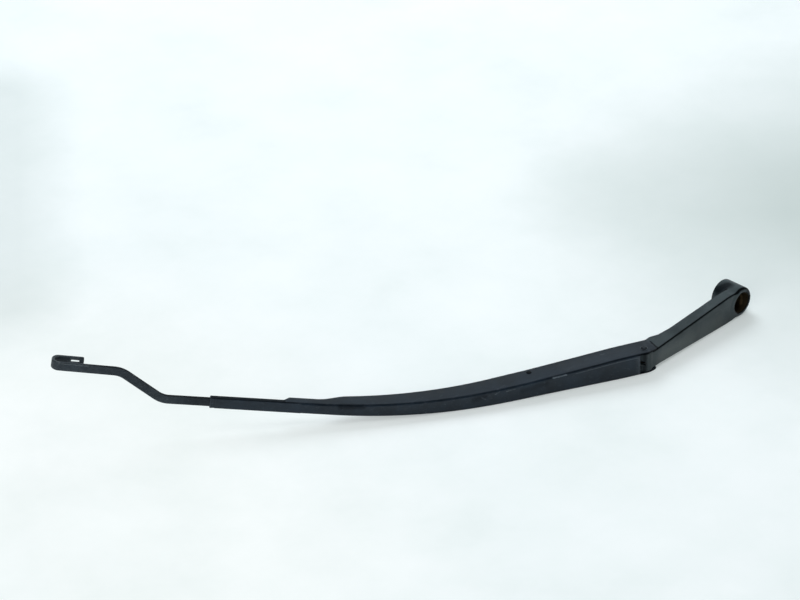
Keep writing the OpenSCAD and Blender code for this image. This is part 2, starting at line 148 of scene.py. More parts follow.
def new_mesh(name, xyz_mm, faces):
    """A mesh from points in millimetres and faces given as rows of indices."""
    mesh = bpy.data.meshes.new(name)
    xyz = np.asarray(xyz_mm, float).reshape(-1, 3) * MM
    mesh.from_pydata(xyz.tolist(), [], [list(map(int, f)) for f in faces])
    mesh.validate()
    mesh.update()
    return mesh


def outward(mesh):
    """Merges doubled points and turns every face of a closed mesh to point outwards."""
    b = bmesh.new()
    b.from_mesh(mesh)
    bmesh.ops.remove_doubles(b, verts=b.verts, dist=1e-6)
    bmesh.ops.recalc_face_normals(b, faces=b.faces)
    b.to_mesh(mesh)
    b.free()


def shade_smooth(mesh, sharp_deg):
    """Smooth faces that break at edges sharper than sharp_deg."""
    mesh.polygons.foreach_set("use_smooth", np.ones(len(mesh.polygons), bool))
    mesh.set_sharp_from_angle(angle=math.radians(sharp_deg))


def add_object(mesh, sharp_deg=35):
    """An object at the origin, named as its mesh is."""
    outward(mesh)
    obj = bpy.data.objects.new(mesh.name, mesh)
    bpy.context.scene.collection.objects.link(obj)
    shade_smooth(mesh, sharp_deg)
    return obj


def settle(obj):
    """Replaces the object's mesh by what its modifiers make of it, and drops the modifiers."""
    graph = bpy.context.evaluated_depsgraph_get()
    mesh = bpy.data.meshes.new_from_object(obj.evaluated_get(graph))
    obj.modifiers.clear()
    obj.data = mesh
    return obj


def carve(obj, cutter):
    """Cuts one closed object out of another and removes the cutter."""
    m = obj.modifiers.new("carve", "BOOLEAN")
    m.operation, m.solver, m.object = "DIFFERENCE", "EXACT", cutter
    settle(obj)
    bpy.data.objects.remove(cutter)
    return obj


BEVEL_FROM_DEG, SHARP_AFTER_DEG = 35, 50


def finish_edges(obj, width_mm):
    """Breaks the sharp edges of an object with a narrow bevel, as tumbling and paint do."""
    m = obj.modifiers.new("edge", "BEVEL")
    m.width, m.segments, m.harden_normals = width_mm * MM, 2, False
    m.limit_method, m.angle_limit = "ANGLE", math.radians(BEVEL_FROM_DEG)
    settle(obj)
    shade_smooth(obj.data, SHARP_AFTER_DEG)
    return obj


def seat(obj, body, slot, *nodes):
    """Lets a piece ride on a body and hides the CAD nodes it stands for. slot is not used."""
    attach(obj, body)
    if nodes:
        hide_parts(*nodes)
    print(obj.name, "faces:", len(obj.data.polygons))
    return obj


def prism_mesh(name, outline, frame_of, depth):
    """A flat plate: an outline in the (u, v) plane, carried by depth/2 to both sides along w.
    frame_of turns rows of (u, v, w) into points."""
    outline = np.asarray(outline, float)
    n = len(outline)
    a = frame_of(np.column_stack([outline, np.full(n, -depth / 2)]))
    b = frame_of(np.column_stack([outline, np.full(n, depth / 2)]))
    faces = [list(range(n)), list(range(2 * n - 1, n - 1, -1))] + grid_faces(2, n).tolist()
    return new_mesh(name, np.vstack([a, b]), faces)


def hinge_frame(p):
    """(x along the channel, out of its face, across) in the hinge's own frame, as points."""
    along, across, out = directions(0.0)
    return HINGE + p[:, :1] * along + p[:, 1:2] * out + p[:, 2:3] * across


print("mesh helpers ready")

# %% [markdown]
# ## The cast head
# The head is a painted casting: a round end with a deep recess for the spindle nut, a tapering beam and a
# knuckle. Castings have no sharp inside corners, because metal would crack there. Joining solids leaves such
# corners, so this piece is made another way: as a distance field. For each point in space one number says how
# far it lies from the surface. Shapes are joined by a soft minimum, which fills the corner between them, and
# cut by a soft maximum. The surface is where the number is zero.

# %% Distance fields
TAPER_TO, LUG_FROM, LUG_TO = HINGE[0] - 16, HINGE[0] - 22, HINGE[0] - 7
SPRING_PIN = np.array([HINGE[0] - 10.5, 0.0, HINGE[2] - 8.3])
BEAM_W, BEAM_FROM, BEAM_TOP, BEAM_BOTTOM, LUG_BOTTOM = 30.0, 4.0, DRUM_H - 0.2, 13.2, 7.6
POCKETS, POCKET_WALL, POCKET_ROOF = [(24.0, 56.0), (60.0, 92.0)], 3.6, 4.2
SLOT_ROOF, SLOT_END = 1.4, math.radians(54)
CUTTER_HALF = 20                           # half the height of the body that cuts the recess
TAPER_FROM, NECK_FROM, NECK_TO, NECK_IN = 22, 2, 14, 1.5             # where the beam meets the round end
CLIMB_FROM, STEP_FROM, STEP_TO, STEP_DOWN = 15, 95, 108, 1.6         # slopes of its two faces


def beam_half_width(x):
    """The beam is widest next to the round end, and narrows in a straight line to the knuckle."""
    return mix(BEAM_W / 2, CHEEK_W / 2, ramp(x, TAPER_FROM, TAPER_TO)) - NECK_IN * (1 - ramp(x, NECK_FROM, NECK_TO))


def beam_top(x):
    """The outer face climbs slightly from the round end to the top of the knuckle."""
    return BEAM_TOP + (HINGE[2] + KNUCKLE_R - 0.1 - BEAM_TOP) * (x - CLIMB_FROM) / (HINGE[0] - CLIMB_FROM)


def beam_bottom(x):
    """The glass side face drops a little towards the hinge, and drops again at the lug of the spring pin."""
    lower = mix(BEAM_BOTTOM, BEAM_BOTTOM - STEP_DOWN, ramp(x, STEP_FROM, STEP_TO))
    lower = mix(lower, LUG_BOTTOM, ramp(x, LUG_FROM - 9, LUG_FROM))
    return mix(lower, HINGE[2] - KNUCKLE_R + 1.5, ramp(x, LUG_TO, HINGE[0] - 0.5))


def box2(u, v, hu, hv, r):
    """Distance to a rectangle of half sizes hu and hv whose corners are rounded by r."""
    qu, qv = np.abs(u) - hu + r, np.abs(v) - hv + r
    return np.hypot(np.maximum(qu, 0), np.maximum(qv, 0)) + np.minimum(np.maximum(qu, qv), 0) - r


def soft_min(a, b, k):
    """The smaller of two distances, with a fillet of about k where they are equal."""
    h = np.clip(0.5 + 0.5 * (b - a) / k, 0, 1)
    return mix(b, a, h) - k * h * (1 - h)


def soft_cut(a, b, k):
    """Solid a with solid b taken away, with its new edges rounded by about k."""
    return -soft_min(-a, b, k)


# radii in mm: rounded outside edges, fillets where solids meet, and the rims of what is cut in
LIP_R, DRUM_EDGE, BEAM_EDGE, KNUCKLE_EDGE = 3.2, 1.5, 1.9, 0.8
BEAM_FILLET, KNUCKLE_FILLET = 2.2, 1.2
RECESS_CORNER, RECESS_RIM, BORE_RIM = 1.2, 0.7, 0.5
POCKET_CORNER, POCKET_RIM, SLOT_RIM, PIN_RIM = 2.0, 1.0, 0.6, 0.2


def head_field(p):
    """Distance of points (rows of x, y, z in mm) from the head's surface, negative inside."""
    x, y, z = p[..., 0], p[..., 1], p[..., 2]
    rho = np.hypot(x, y)
    lip = np.hypot(np.maximum(rho - DRUM_R + LIP_R, 0), np.maximum(z - DRUM_H + LIP_R, 0)) - LIP_R
    drum = np.maximum(box2(rho, z - DRUM_H / 2, DRUM_R, DRUM_H / 2, DRUM_EDGE), lip)
    top, low = beam_top(x), beam_bottom(x)
    beam = box2(y, z - (top + low) / 2, beam_half_width(x), (top - low) / 2, BEAM_EDGE)
    beam = np.maximum(beam, np.maximum(BEAM_FROM - x, x - HINGE[0]))
    pin = np.hypot(x - HINGE[0], z - HINGE[2])
    knuckle = box2(pin, y, KNUCKLE_R, CHEEK_W / 2 + KNUCKLE_PROUD, KNUCKLE_EDGE)
    body = soft_min(soft_min(drum, beam, BEAM_FILLET), knuckle, KNUCKLE_FILLET)
    recess = box2(rho, z - (DRUM_H - RECESS_DEPTH + CUTTER_HALF), RECESS_R, CUTTER_HALF, RECESS_CORNER)
    body = soft_cut(body, recess, RECESS_RIM)
    body = soft_cut(body, rho - SPINDLE_R, BORE_RIM)
    body = soft_cut(body, rho - CONE_R + z * (CONE_R - SPINDLE_R) / CONE_H, BORE_RIM)
    for a, b in POCKETS:
        pocket = box2(x - (a + b) / 2, y, (b - a) / 2, beam_half_width(x) - POCKET_WALL, POCKET_CORNER)
        body = soft_cut(body, np.maximum(pocket, z - (BEAM_TOP - POCKET_ROOF)), POCKET_RIM)
    slot = np.maximum(np.abs(y) - SLOT_W / 2, LUG_FROM - 10 - x)
    roof = z - (HINGE[2] + HINGE_PIN_D / 2 + SLOT_ROOF)
    mouth_end = (z - HINGE[2]) * math.cos(SLOT_END) - (x - HINGE[0]) * math.sin(SLOT_END)
    body = soft_cut(body, np.maximum(slot, np.minimum(roof, mouth_end)), SLOT_RIM)
    body = soft_cut(body, pin - BUSH_OUT, PIN_RIM)
    return soft_cut(body, np.hypot(x - SPRING_PIN[0], z - SPRING_PIN[2]) - SPRING_PIN_D / 2, PIN_RIM)


print("field at the middle of the beam:", float(head_field(np.array([[50.0, 13.0, 20.0]]))[0]))

# %% [markdown]
# A field becomes a mesh with surface nets. Space is cut into small cubes; each cube that the surface crosses
# gets one point, at the mean of the crossings on its edges, and each grid edge that the surface crosses gets
# one quad round it. Then every point is slid along the field's slope until its distance is zero.

# %% Surface nets in numpy
PROBE_MM, SLIDES = 0.02, 3                 # step that measures the slope, and how often the points slide


def surface_nets(field, low, high, cell):
    """Points and quads of the surface where field is zero, on cubes of the given size."""
    axes = [np.arange(a, b + cell, cell) for a, b in zip(low, high)]
    grid = np.stack(np.meshgrid(*axes, indexing="ij"), -1)
    d = field(grid)
    n = np.array(d.shape)
    total = np.zeros(tuple(n - 1) + (3,))
    count = np.zeros(tuple(n - 1))
    crossings = []
    for axis in range(3):
        a = np.moveaxis(d, axis, 0)
        share = a[:-1] / np.where(np.abs(a[:-1] - a[1:]) > 1e-12, a[:-1] - a[1:], 1)
        cross = np.moveaxis((a[:-1] < 0) != (a[1:] < 0), 0, axis)
        share = np.moveaxis(share, 0, axis)
        crossings.append(cross)
        others = [k for k in range(3) if k != axis]
        point = np.stack(np.meshgrid(*[np.arange(m) for m in cross.shape], indexing="ij"), -1).astype(float)
        point[..., axis] += share
        for du in (0, 1):
            for dv in (0, 1):
                take = [slice(None)] * 3
                take[others[0]] = slice(du, n[others[0]] - 1 + du)
                take[others[1]] = slice(dv, n[others[1]] - 1 + dv)
                c = cross[tuple(take)]
                total += np.where(c[..., None], point[tuple(take)], 0)
                count += c
    inside = count > 0
    index = np.full(count.shape, -1)
    index[inside] = np.arange(inside.sum())
    xyz = np.array(low) + cell * total[inside] / count[inside][:, None]
    quads = []
    for axis, cross in enumerate(crossings):
        u, v = [k for k in range(3) if k != axis]
        at = np.argwhere(cross)
        at = at[(at[:, u] > 0) & (at[:, v] > 0) & (at[:, u] < n[u] - 1) & (at[:, v] < n[v] - 1)]
        back_u, back_v = np.eye(3, dtype=int)[u], np.eye(3, dtype=int)[v]
        quads.append(np.stack([index[tuple((at - a).T)] for a in (0 * back_u, back_u, back_u + back_v, back_v)], 1))
    for _ in range(SLIDES):
        slope = np.stack([field(xyz + step) - field(xyz - step) for step in PROBE_MM * np.eye(3)], -1) / (2 * PROBE_MM)
        move = slope * (field(xyz) / np.maximum((slope ** 2).sum(-1), 0.2))[:, None]
        xyz = xyz - np.clip(move, -cell / 2, cell / 2)
    return xyz, np.vstack(quads)


HEAD_CELL = 0.5
HEAD_LOW, HEAD_HIGH = (-17, -17, -1.5), (151, 17, 30.5)
head = add_object(new_mesh("mounting_head_cast", *surface_nets(head_field, HEAD_LOW, HEAD_HIGH, HEAD_CELL)), 60)
seat(head, "head", "head_paint", "mounting_head")

# %% [markdown]
# ## The folded channel
# The channel is one strip of sheet steel, pressed into a U. Its folds are round because sheet can't bend
# sharper than about its own thickness. The section is drawn once as a closed ring: outside face, rounded lip,
# inside face. Carried along the path it gives the whole channel, and the ears are then cut to shape, as the
# press does, with flat cutters.

# %% Width and depth of the channel
def channel_width(s):
    """Parallel at the ears, narrowing to the spring anchor, then more slowly to the sleeve."""
    near = mix(HINGE_W, WAIST_W, ramp(s, 30, ANCHOR_S) ** 0.9)
    return np.where(np.asarray(s) < ANCHOR_S, near, mix(WAIST_W, TIP_W, ramp(s, ANCHOR_S, CHANNEL_LEN - 40)))


SHOULDER_S, SHALLOW_S, SLANT = CHANNEL_LEN - 62, CHANNEL_LEN - 32, 5.0
LAST_DEPTH = ROD_T + 2 * SHEET - 0.1


def smooth(t):
    """An S curve from 0 to 1: 3 t^2 - 2 t^3."""
    return t * t * (3 - 2 * t)


def channel_depth(s):
    """Even depth at the hinge, then a straight taper, an S curve down to the shallow end, and a short slant."""
    taper = mix(CHANNEL_DEPTH, SHOULDER_DEPTH, ramp(s, 140, SHOULDER_S))
    drop = mix(taper, END_DEPTH, smooth(ramp(s, SHOULDER_S, SHALLOW_S)))
    return mix(drop, LAST_DEPTH, ramp(s, CHANNEL_LEN - SLANT, CHANNEL_LEN))


def u_section(half_w, low, top, fold, arc=10):
    """Closed ring of (across, out) points for a U of sheet: folds of the given radius outside, lips rounded.
    All four are arrays; the result has one ring for each of their values."""
    a = np.radians(np.linspace(0, 90, arc))
    lip = np.radians(np.linspace(0, 180, 7))
    hw, lo, hi, r, t = half_w[:, None], low[:, None], top[:, None], fold[:, None], SHEET
    ri, one = r - t + 0.1, np.ones_like(hw)
    left_out = np.stack([-hw + r - r * np.cos(a), hi - r + r * np.sin(a)], -1)
    right_out = np.stack([hw - r + r * np.sin(a), hi - r + r * np.cos(a)], -1)
    right_lip = np.stack([hw - t / 2 + t / 2 * np.cos(lip) * one, lo + t / 2 - t / 2 * np.sin(lip) * one], -1)
    right_in = np.stack([hw - t - ri + ri * np.cos(a), hi - t - ri + ri * np.sin(a)], -1)
    left_in = np.stack([-hw + t + ri - ri * np.sin(a), hi - t - ri + ri * np.cos(a)], -1)
    left_lip = np.stack([-hw + t / 2 + t / 2 * np.cos(lip) * one, lo + t / 2 - t / 2 * np.sin(lip) * one], -1)
    return np.concatenate([left_out, right_out, right_lip, right_in, left_in, left_lip], 1)


# %% Channel surface
channel_s = np.concatenate([
    np.linspace(EAR_BACK - 2, 30, 12), np.arange(34, SHOULDER_S, 4.0),
    np.arange(SHOULDER_S, CHANNEL_LEN - 8, 2.0), np.linspace(CHANNEL_LEN - 7, CHANNEL_LEN + 2, 13)])
# past the channel's own length the sheet dives a little under the surface of the sleeve that it becomes
DIVE_SIDE, DIVE_FACE, DIVE_FOLD, DIVE_END = 0.12, 0.07, 0.75, 0.35
dive = ramp(channel_s, CHANNEL_LEN - 4, CHANNEL_LEN)
deep = ramp(channel_s, CHANNEL_LEN, CHANNEL_LEN + 2)
section = u_section(channel_width(channel_s) / 2 - DIVE_SIDE * dive - DIVE_END * deep,
                    WEB_H - channel_depth(np.minimum(channel_s, CHANNEL_LEN)) + DIVE_END * deep,
                    WEB_H - DIVE_FACE * dive - DIVE_END * deep, FOLD_R - DIVE_FOLD * dive)
rings = along_channel(channel_s[:, None], section[..., 0], section[..., 1])
ring_n = rings.shape[1]
half = ring_n // 2
caps = []
for first in (0, (len(channel_s) - 1) * ring_n):
    # the ring is closed by a strip of quads between its outside and inside points
    order = np.roll(np.arange(ring_n), 4)
    caps += [[first + order[k], first + order[k + 1], first + order[ring_n - 2 - k], first + order[ring_n - 1 - k]]
             for k in range(half - 1)]
channel_faces = grid_faces(len(channel_s), ring_n).tolist() + caps
channel = add_object(new_mesh("retainer_channel_sheet", rings, channel_faces), 40)
print("channel rings:", rings.shape)

# %% [markdown]
# The press cuts the strip twice at the hinge. One cut takes the web away, so that the knuckle of the head has
# room, and leaves two sides standing. The other gives these sides the outline of ears.

# %% Cut the ears
FOLD_END = WEB_H - FOLD_R                  # height where the round fold meets the flat side
PAST = -40                                 # the cutters start well behind the ears
web_cut = [(PAST, FOLD_END - 0.4), (WEB_START - 0.8, FOLD_END - 0.4), (WEB_START, FOLD_END + 0.3),
           (WEB_START, 20), (PAST, 20)]
carve(channel, add_object(prism_mesh("web_cutter", web_cut, hinge_frame, 2 * EAR_IN)))


def rounded(points, radius, n=6):
    """A polygon whose corners are replaced by short curves: each corner gets a quadratic arc that leaves
    its two sides at the given distance."""
    points = np.asarray(points, float)
    before, after = np.roll(points, 1, 0) - points, np.roll(points, -1, 0) - points
    lb, la = np.linalg.norm(before, axis=1), np.linalg.norm(after, axis=1)
    cut = np.minimum(np.broadcast_to(radius, lb.shape), np.minimum(lb, la) / 2.2)
    a = points + before * (cut / lb)[:, None]
    b = points + after * (cut / la)[:, None]
    t = np.linspace(0, 1, n)[None, :, None]
    return ((1 - t) ** 2 * a[:, None] + 2 * t * (1 - t) * points[:, None] + t ** 2 * b[:, None]).reshape(-1, 2)


BELOW = WEB_H - CHANNEL_DEPTH - 4          # height just under the lips
ear_cut = rounded([(PAST, 30), (3, 30), (2.4, WEB_H + 0.02), (-0.6, WEB_H - 0.1), (EAR_BACK, 4.1),
                   (EAR_BACK + 3, BELOW), (PAST, BELOW)], [1, 0.5, 0.5, 1.5, 2.0, 0.5, 1])
carve(channel, add_object(prism_mesh("ear_cutter", ear_cut, hinge_frame, 60)))
finish_edges(channel, 0.3)
seat(channel, "arm", "channel_paint", "retainer_channel")

# %% [markdown]
# ## The crimped sleeve
# Past the channel the sheet closes round the flat rod and is squeezed flat. The sleeve is a closed ring, a
# rounded rectangle, carried along the straight end of the path. Near its mouth the press has left two dents.

# %% Sleeve surface
def rounded_rectangle(half_w, half_t, r, n=6):
    """Ring of points of a rectangle with corners of radius r, counted round from the +u side."""
    a = np.radians(np.linspace(0, 90, n))
    quarter = [(1, 1, a), (-1, 1, a + np.pi / 2), (-1, -1, a + np.pi), (1, -1, a + 3 * np.pi / 2)]
    return np.vstack([np.column_stack([cu * (half_w - r) + r * np.cos(t), cv * (half_t - r) + r * np.sin(t)])
                      for cu, cv, t in quarter])


ROD_MID = WEB_H - SHEET - ROD_T / 2
sleeve_hw, sleeve_ht = ROD_W / 2 + SHEET, ROD_T / 2 + SHEET - 0.05
sleeve_s = np.concatenate([np.linspace(CHANNEL_LEN - 16, CHANNEL_LEN + SLEEVE_LEN - 12, 20),
                           np.linspace(CHANNEL_LEN + SLEEVE_LEN - 11.5, CHANNEL_LEN + SLEEVE_LEN, 30)])
SLEEVE_CORNER, MOUTH_CORNER = 1.4, 0.5
shell = rounded_rectangle(sleeve_hw, sleeve_ht, SLEEVE_CORNER, 8)
from_mouth = CHANNEL_LEN + SLEEVE_LEN - sleeve_s
DENTS = [(0.55, 4.0, 1.1), (0.25, 1.9, 0.6)]            # depth, distance from the mouth and half width
dent = sum(deepest * np.exp(-((from_mouth - at_mm) / wide) ** 2) for deepest, at_mm, wide in DENTS)
MOUTH_R = 0.7
rim = MOUTH_R - np.sqrt(np.clip(MOUTH_R ** 2 - (MOUTH_R - np.clip(from_mouth, 0, MOUTH_R)) ** 2, 0, None))
shell = shell[None] * (1 - (rim[:, None, None] / np.array([sleeve_hw, sleeve_ht])))
face_share = ramp(shell[..., 1], 0.4, sleeve_ht)
shell_out = shell[..., 1] - dent[:, None] * face_share
outer = along_channel(sleeve_s[:, None], shell[..., 0], ROD_MID + shell_out)
mouth = rounded_rectangle(ROD_W / 2 + 0.02, ROD_T / 2 + 0.02, MOUTH_CORNER, 8)
inner_s = np.array([CHANNEL_LEN + SLEEVE_LEN - 0.3, CHANNEL_LEN + SLEEVE_LEN - 8, CHANNEL_LEN - 16])
inner = along_channel(inner_s[:, None], mouth[None, :, 0], ROD_MID + mouth[None, :, 1])
tube = np.vstack([outer, inner, outer[:1]])
sleeve = add_object(new_mesh("channel_sleeve", tube, grid_faces(len(tube), shell.shape[1])), 40)
seat(sleeve, "arm", "channel_paint", "retainer_channel")

# %% [markdown]
# ## The flat rod
# The rod is a 9 by 3 mm steel bar, bent twice edgeways to step aside and once flatways into the J hook that
# carries the blade. A bevelled curve would twist in the hook, so the bar is a rounded rectangle carried along
# a list of frames: straight, arc, straight, arc, straight, half turn, return leg.

# %% Rod surface
def tail_frame(p):
    """Rows of (x past the end of the channel, y across, z out of its face) as points."""
    along, across, out = directions(CHANNEL_LEN)
    return along_channel(CHANNEL_LEN, 0.0, 0.0) + p[..., :1] * along + p[..., 1:2] * across + p[..., 2:3] * out


def frames(x, y, z, plan, side, half_w):
    """Rows of place, turn in plan, turn in side view (degrees) and half width, for stations of the rod."""
    return np.column_stack(np.broadcast_arrays(np.asarray(x, float), y, z, plan, side, half_w))


HOOK_R = (HOOK_GAP + ROD_T) / 2
JOG_FROM = SLEEVE_LEN + BARE_LEN
jog_sin, jog_cos = math.sin(math.radians(JOGGLE_ANGLE)), math.cos(math.radians(JOGGLE_ANGLE))
turn_sin, turn_cos = math.sin(math.radians(HOOK_TURN)), math.cos(math.radians(HOOK_TURN))
JOG_RISE = JOGGLE - JOGGLE_R * (1 + turn_cos - 2 * jog_cos)
MID_X = JOG_FROM + JOGGLE_R * jog_sin + JOG_RISE / jog_sin * jog_cos
MID_Y = -JOGGLE_R * (1 - jog_cos) - JOG_RISE
JOG_TO = MID_X + JOGGLE_R * (jog_sin - turn_sin)


def hook_frames(u, z, side, half_w):
    """Stations of the hook, at a distance u along its shank, which still turns a little to the side."""
    return frames(JOG_TO + u * turn_cos, -JOGGLE - u * turn_sin, z, HOOK_TURN, side, half_w)


turn = np.linspace(0, JOGGLE_ANGLE, 16)
back = np.linspace(JOGGLE_ANGLE, HOOK_TURN, 16)
turn_r, back_r = np.radians(turn), np.radians(back)
bend = np.linspace(0, 180, 33)
bend_r = np.radians(bend)
tip = np.linspace(0, np.pi / 2, 8)
half_w = ROD_W / 2
rod_rows = np.vstack([
    frames(np.linspace(-14, JOG_FROM - 0.5, 24), 0, ROD_MID, 0, 0, half_w),
    frames(JOG_FROM + JOGGLE_R * np.sin(turn_r), -JOGGLE_R * (1 - np.cos(turn_r)), ROD_MID, turn, 0, half_w),
    frames(MID_X + JOGGLE_R * (jog_sin - np.sin(back_r)), MID_Y - JOGGLE_R * (np.cos(back_r) - jog_cos), ROD_MID,
           back, 0, half_w),
    hook_frames(np.linspace(2, HOOK_LEN - 1, 14), ROD_MID, 0, half_w),
    hook_frames(HOOK_LEN + HOOK_R * np.sin(bend_r), ROD_MID - HOOK_R * (1 - np.cos(bend_r)), bend, half_w),
    hook_frames(np.linspace(HOOK_LEN - 1, HOOK_LEN - LEG_LEN + TIP_R + 0.5, 8), ROD_MID - 2 * HOOK_R, 180, half_w),
    hook_frames(HOOK_LEN - LEG_LEN + TIP_R * (1 - np.sin(tip)), ROD_MID - 2 * HOOK_R, 180,
                half_w - TIP_R * (1 - np.cos(tip)))])


def bar(rows, thick, r, n=5):
    """Rounded rectangles of the given thickness at each frame: u runs across the bar, v out of its face.
    Across is (sin a, cos a, 0), and out is (sin b cos a, -sin b sin a, cos b), for the turns a and b."""
    a, b = np.radians(rows[:, 3]), np.radians(rows[:, 4])
    across = np.stack([np.sin(a), np.cos(a), 0 * a], -1)
    out = np.stack([np.sin(b) * np.cos(a), -np.sin(b) * np.sin(a), np.cos(b)], -1)
    hw = rows[:, 5][:, None]
    rr = np.minimum(r, 0.8 * hw)
    t = np.radians(np.concatenate([np.linspace(q, q + 90, n) for q in (0, 90, 180, 270)]))
    cu, cv = np.repeat([1, -1, -1, 1], n), np.repeat([1, 1, -1, -1], n)
    u = cu * (hw - rr) + rr * np.cos(t)
    v = cv * (thick / 2 - rr) + rr * np.sin(t)
    return rows[:, None, :3] + u[..., None] * across[:, None] + v[..., None] * out[:, None]


def closed_tube(name, rings):
    """Mesh of rings joined by quads, with a flat cap at each end."""
    m, n = rings.shape[:2]
    caps = [list(range(n)), list(range(m * n - 1, m * n - n - 1, -1))]
    return new_mesh(name, rings, grid_faces(m, n).tolist() + caps)


ROD_EDGE = 0.75
rod = add_object(closed_tube("flat_rod_and_hook", tail_frame(bar(rod_rows, ROD_T, ROD_EDGE))))
window_u = HOOK_LEN - LEG_LEN + WINDOW_FROM + WINDOW_LEN / 2
corner_u, corner_v = WINDOW_LEN / 2, WINDOW_W / 2
window = rounded([(-corner_u, -corner_v), (corner_u, -corner_v), (corner_u, corner_v), (-corner_u, corner_v)], 1.0)


def window_frame(p):
    """Rows of (u, v, w) round the middle of the window as points."""
    u = p[:, 0] + window_u
    x = JOG_TO + u * turn_cos + p[:, 1] * turn_sin
    y = -JOGGLE - u * turn_sin + p[:, 1] * turn_cos
    return tail_frame(np.column_stack([x, y, p[:, 2] + ROD_MID - 2 * HOOK_R]))


carve(rod, add_object(prism_mesh("window_cutter", window, window_frame, 2 * ROD_T)))
finish_edges(rod, 0.25)
seat(rod, "arm", "rod_paint", "wiper_rod")

# %% [markdown]
# ## Pins and bushes
# Pins and bushes are turned parts, so each is a profile spun round its axis. A ring of circles is enough: one
# row of the profile gives a place along the axis and a radius. The two pins of the arm are riveted, so their
# ends are low domes. The bushes are sintered bronze, pressed into the cheeks of the head.

# %% Turned parts
def turned_mesh(name, centre, profile, n=48):
    """Circles round an axis along Y through centre; each row of the profile is (place along Y, radius).
    A point is centre + place * Y + radius * (cos t * X + sin t * Z)."""
    profile = np.asarray(profile, float)
    t = np.linspace(0, 2 * np.pi, n, endpoint=False)
    ring = np.stack([np.cos(t), 0 * t, np.sin(t)], -1)
    xyz = np.asarray(centre, float) + ring[None] * profile[:, 1][:, None, None]
    xyz[..., 1] += profile[:, 0][:, None]
    return new_mesh(name, xyz, grid_faces(len(profile), n))


def riveted(half_len, radius, head_r, head_h):
    """Profile of a pin between two low domes: z = head_h * cos of a quarter turn, r = head_r * its sine."""
    q = np.linspace(0, np.pi / 2, 9)
    dome = np.column_stack([half_len + head_h * (0.25 + 0.75 * np.cos(q)), head_r * np.sin(q)])
    right = np.vstack([[[half_len, radius], [half_len, head_r - 0.15], [half_len + 0.15, head_r]], dome[::-1]])
    left = right[::-1] * [-1, 1]
    return np.vstack([left, right])


def rimmed(half_len, radius, rim):
    """Profile of a plain pin with rounded rims."""
    q = np.linspace(0, np.pi / 2, 6)
    right = np.column_stack([half_len - rim + rim * np.sin(q), radius - rim + rim * np.cos(q)])
    right = np.vstack([right, [[half_len, 0.0]]])
    return np.vstack([right[::-1] * [-1, 1], right])


# %% Pins
HINGE_HEAD, ANCHOR_HEAD, SPRING_PIN_RIM = (3.8, 0.9), (2.7, 0.5), 0.5          # radius and height of the heads
anchor_point = along_channel(ANCHOR_S, 0.0, -ANCHOR_DROP)
hinge_profile = riveted(HINGE_W / 2 + 0.01, HINGE_PIN_D / 2, *HINGE_HEAD)
hinge_pin = add_object(turned_mesh("hinge_pin_riveted", HINGE, hinge_profile))
seat(hinge_pin, "arm", "pin_paint", "hinge_pin")
anchor_profile = riveted(WAIST_W / 2 + 0.01, ANCHOR_PIN_D / 2, *ANCHOR_HEAD)
anchor_pin = add_object(turned_mesh("anchor_pin_riveted", anchor_point, anchor_profile))
seat(anchor_pin, "arm", "pin_paint", "anchor_pin")
spring_profile = rimmed(CHEEK_W / 2 - 0.2, SPRING_PIN_D / 2, SPRING_PIN_RIM)
spring_pin = add_object(turned_mesh("spring_pin_ground", SPRING_PIN, spring_profile))
seat(spring_pin, "head", "pin_steel", "spring_pin")

# %% Bushes
bushes = []
for side, name in ((-1, "hinge_bush_a"), (1, "hinge_bush_b")):
    a, b = SLOT_W / 2, CHEEK_W / 2 + KNUCKLE_PROUD
    ring = [(a, BUSH_IN + 0.2), (a, BUSH_OUT - 0.3), (a + 0.3, BUSH_OUT), (b - 0.3, BUSH_OUT), (b, BUSH_OUT - 0.3),
            (b, BUSH_IN + 0.2), (b - 0.2, BUSH_IN), (a + 0.2, BUSH_IN), (a, BUSH_IN + 0.2)]
    bush = add_object(turned_mesh(name + "_sintered", HINGE, np.array(ring) * [side, 1]), 30)
    bushes.append(seat(bush, "head", "bush_bronze", name))

# %% [markdown]
# ## The spring link
# A C shaped link, punched from plate, reaches round the hinge pin when the arm is lifted. A punched edge is
# slightly rounded on one side. The link is a distance field too: an arc of even width, an eye at each end,
# soft where they meet, made thick by a rounded extrusion.

# %% Link surface
line = anchor_point - SPRING_PIN
LINE_LEN = float(np.linalg.norm(line))
line_x = line / LINE_LEN
line_z = np.array([-line_x[2], 0.0, line_x[0]])
BOW_C, BOW_R, TAB_X = np.array([13.0, -0.4]), 6.4 + LINK_W / 2, 28.0
ARC_ENDS, EYE_WALL, TAB_R, NECK, NECK_CORNER = (184, 356), 2.0, 3.5, 3.0, 1.5
LINK_FILLET, TAB_FILLET, LINK_EDGE = 1.2, 0.8, 0.3


def spring_frame(p):
    """Rows of (x along the spring's line, y, z across it) as points."""
    return SPRING_PIN + p[..., :1] * line_x + p[..., 1:2] * np.array([0.0, 1.0, 0.0]) + p[..., 2:3] * line_z


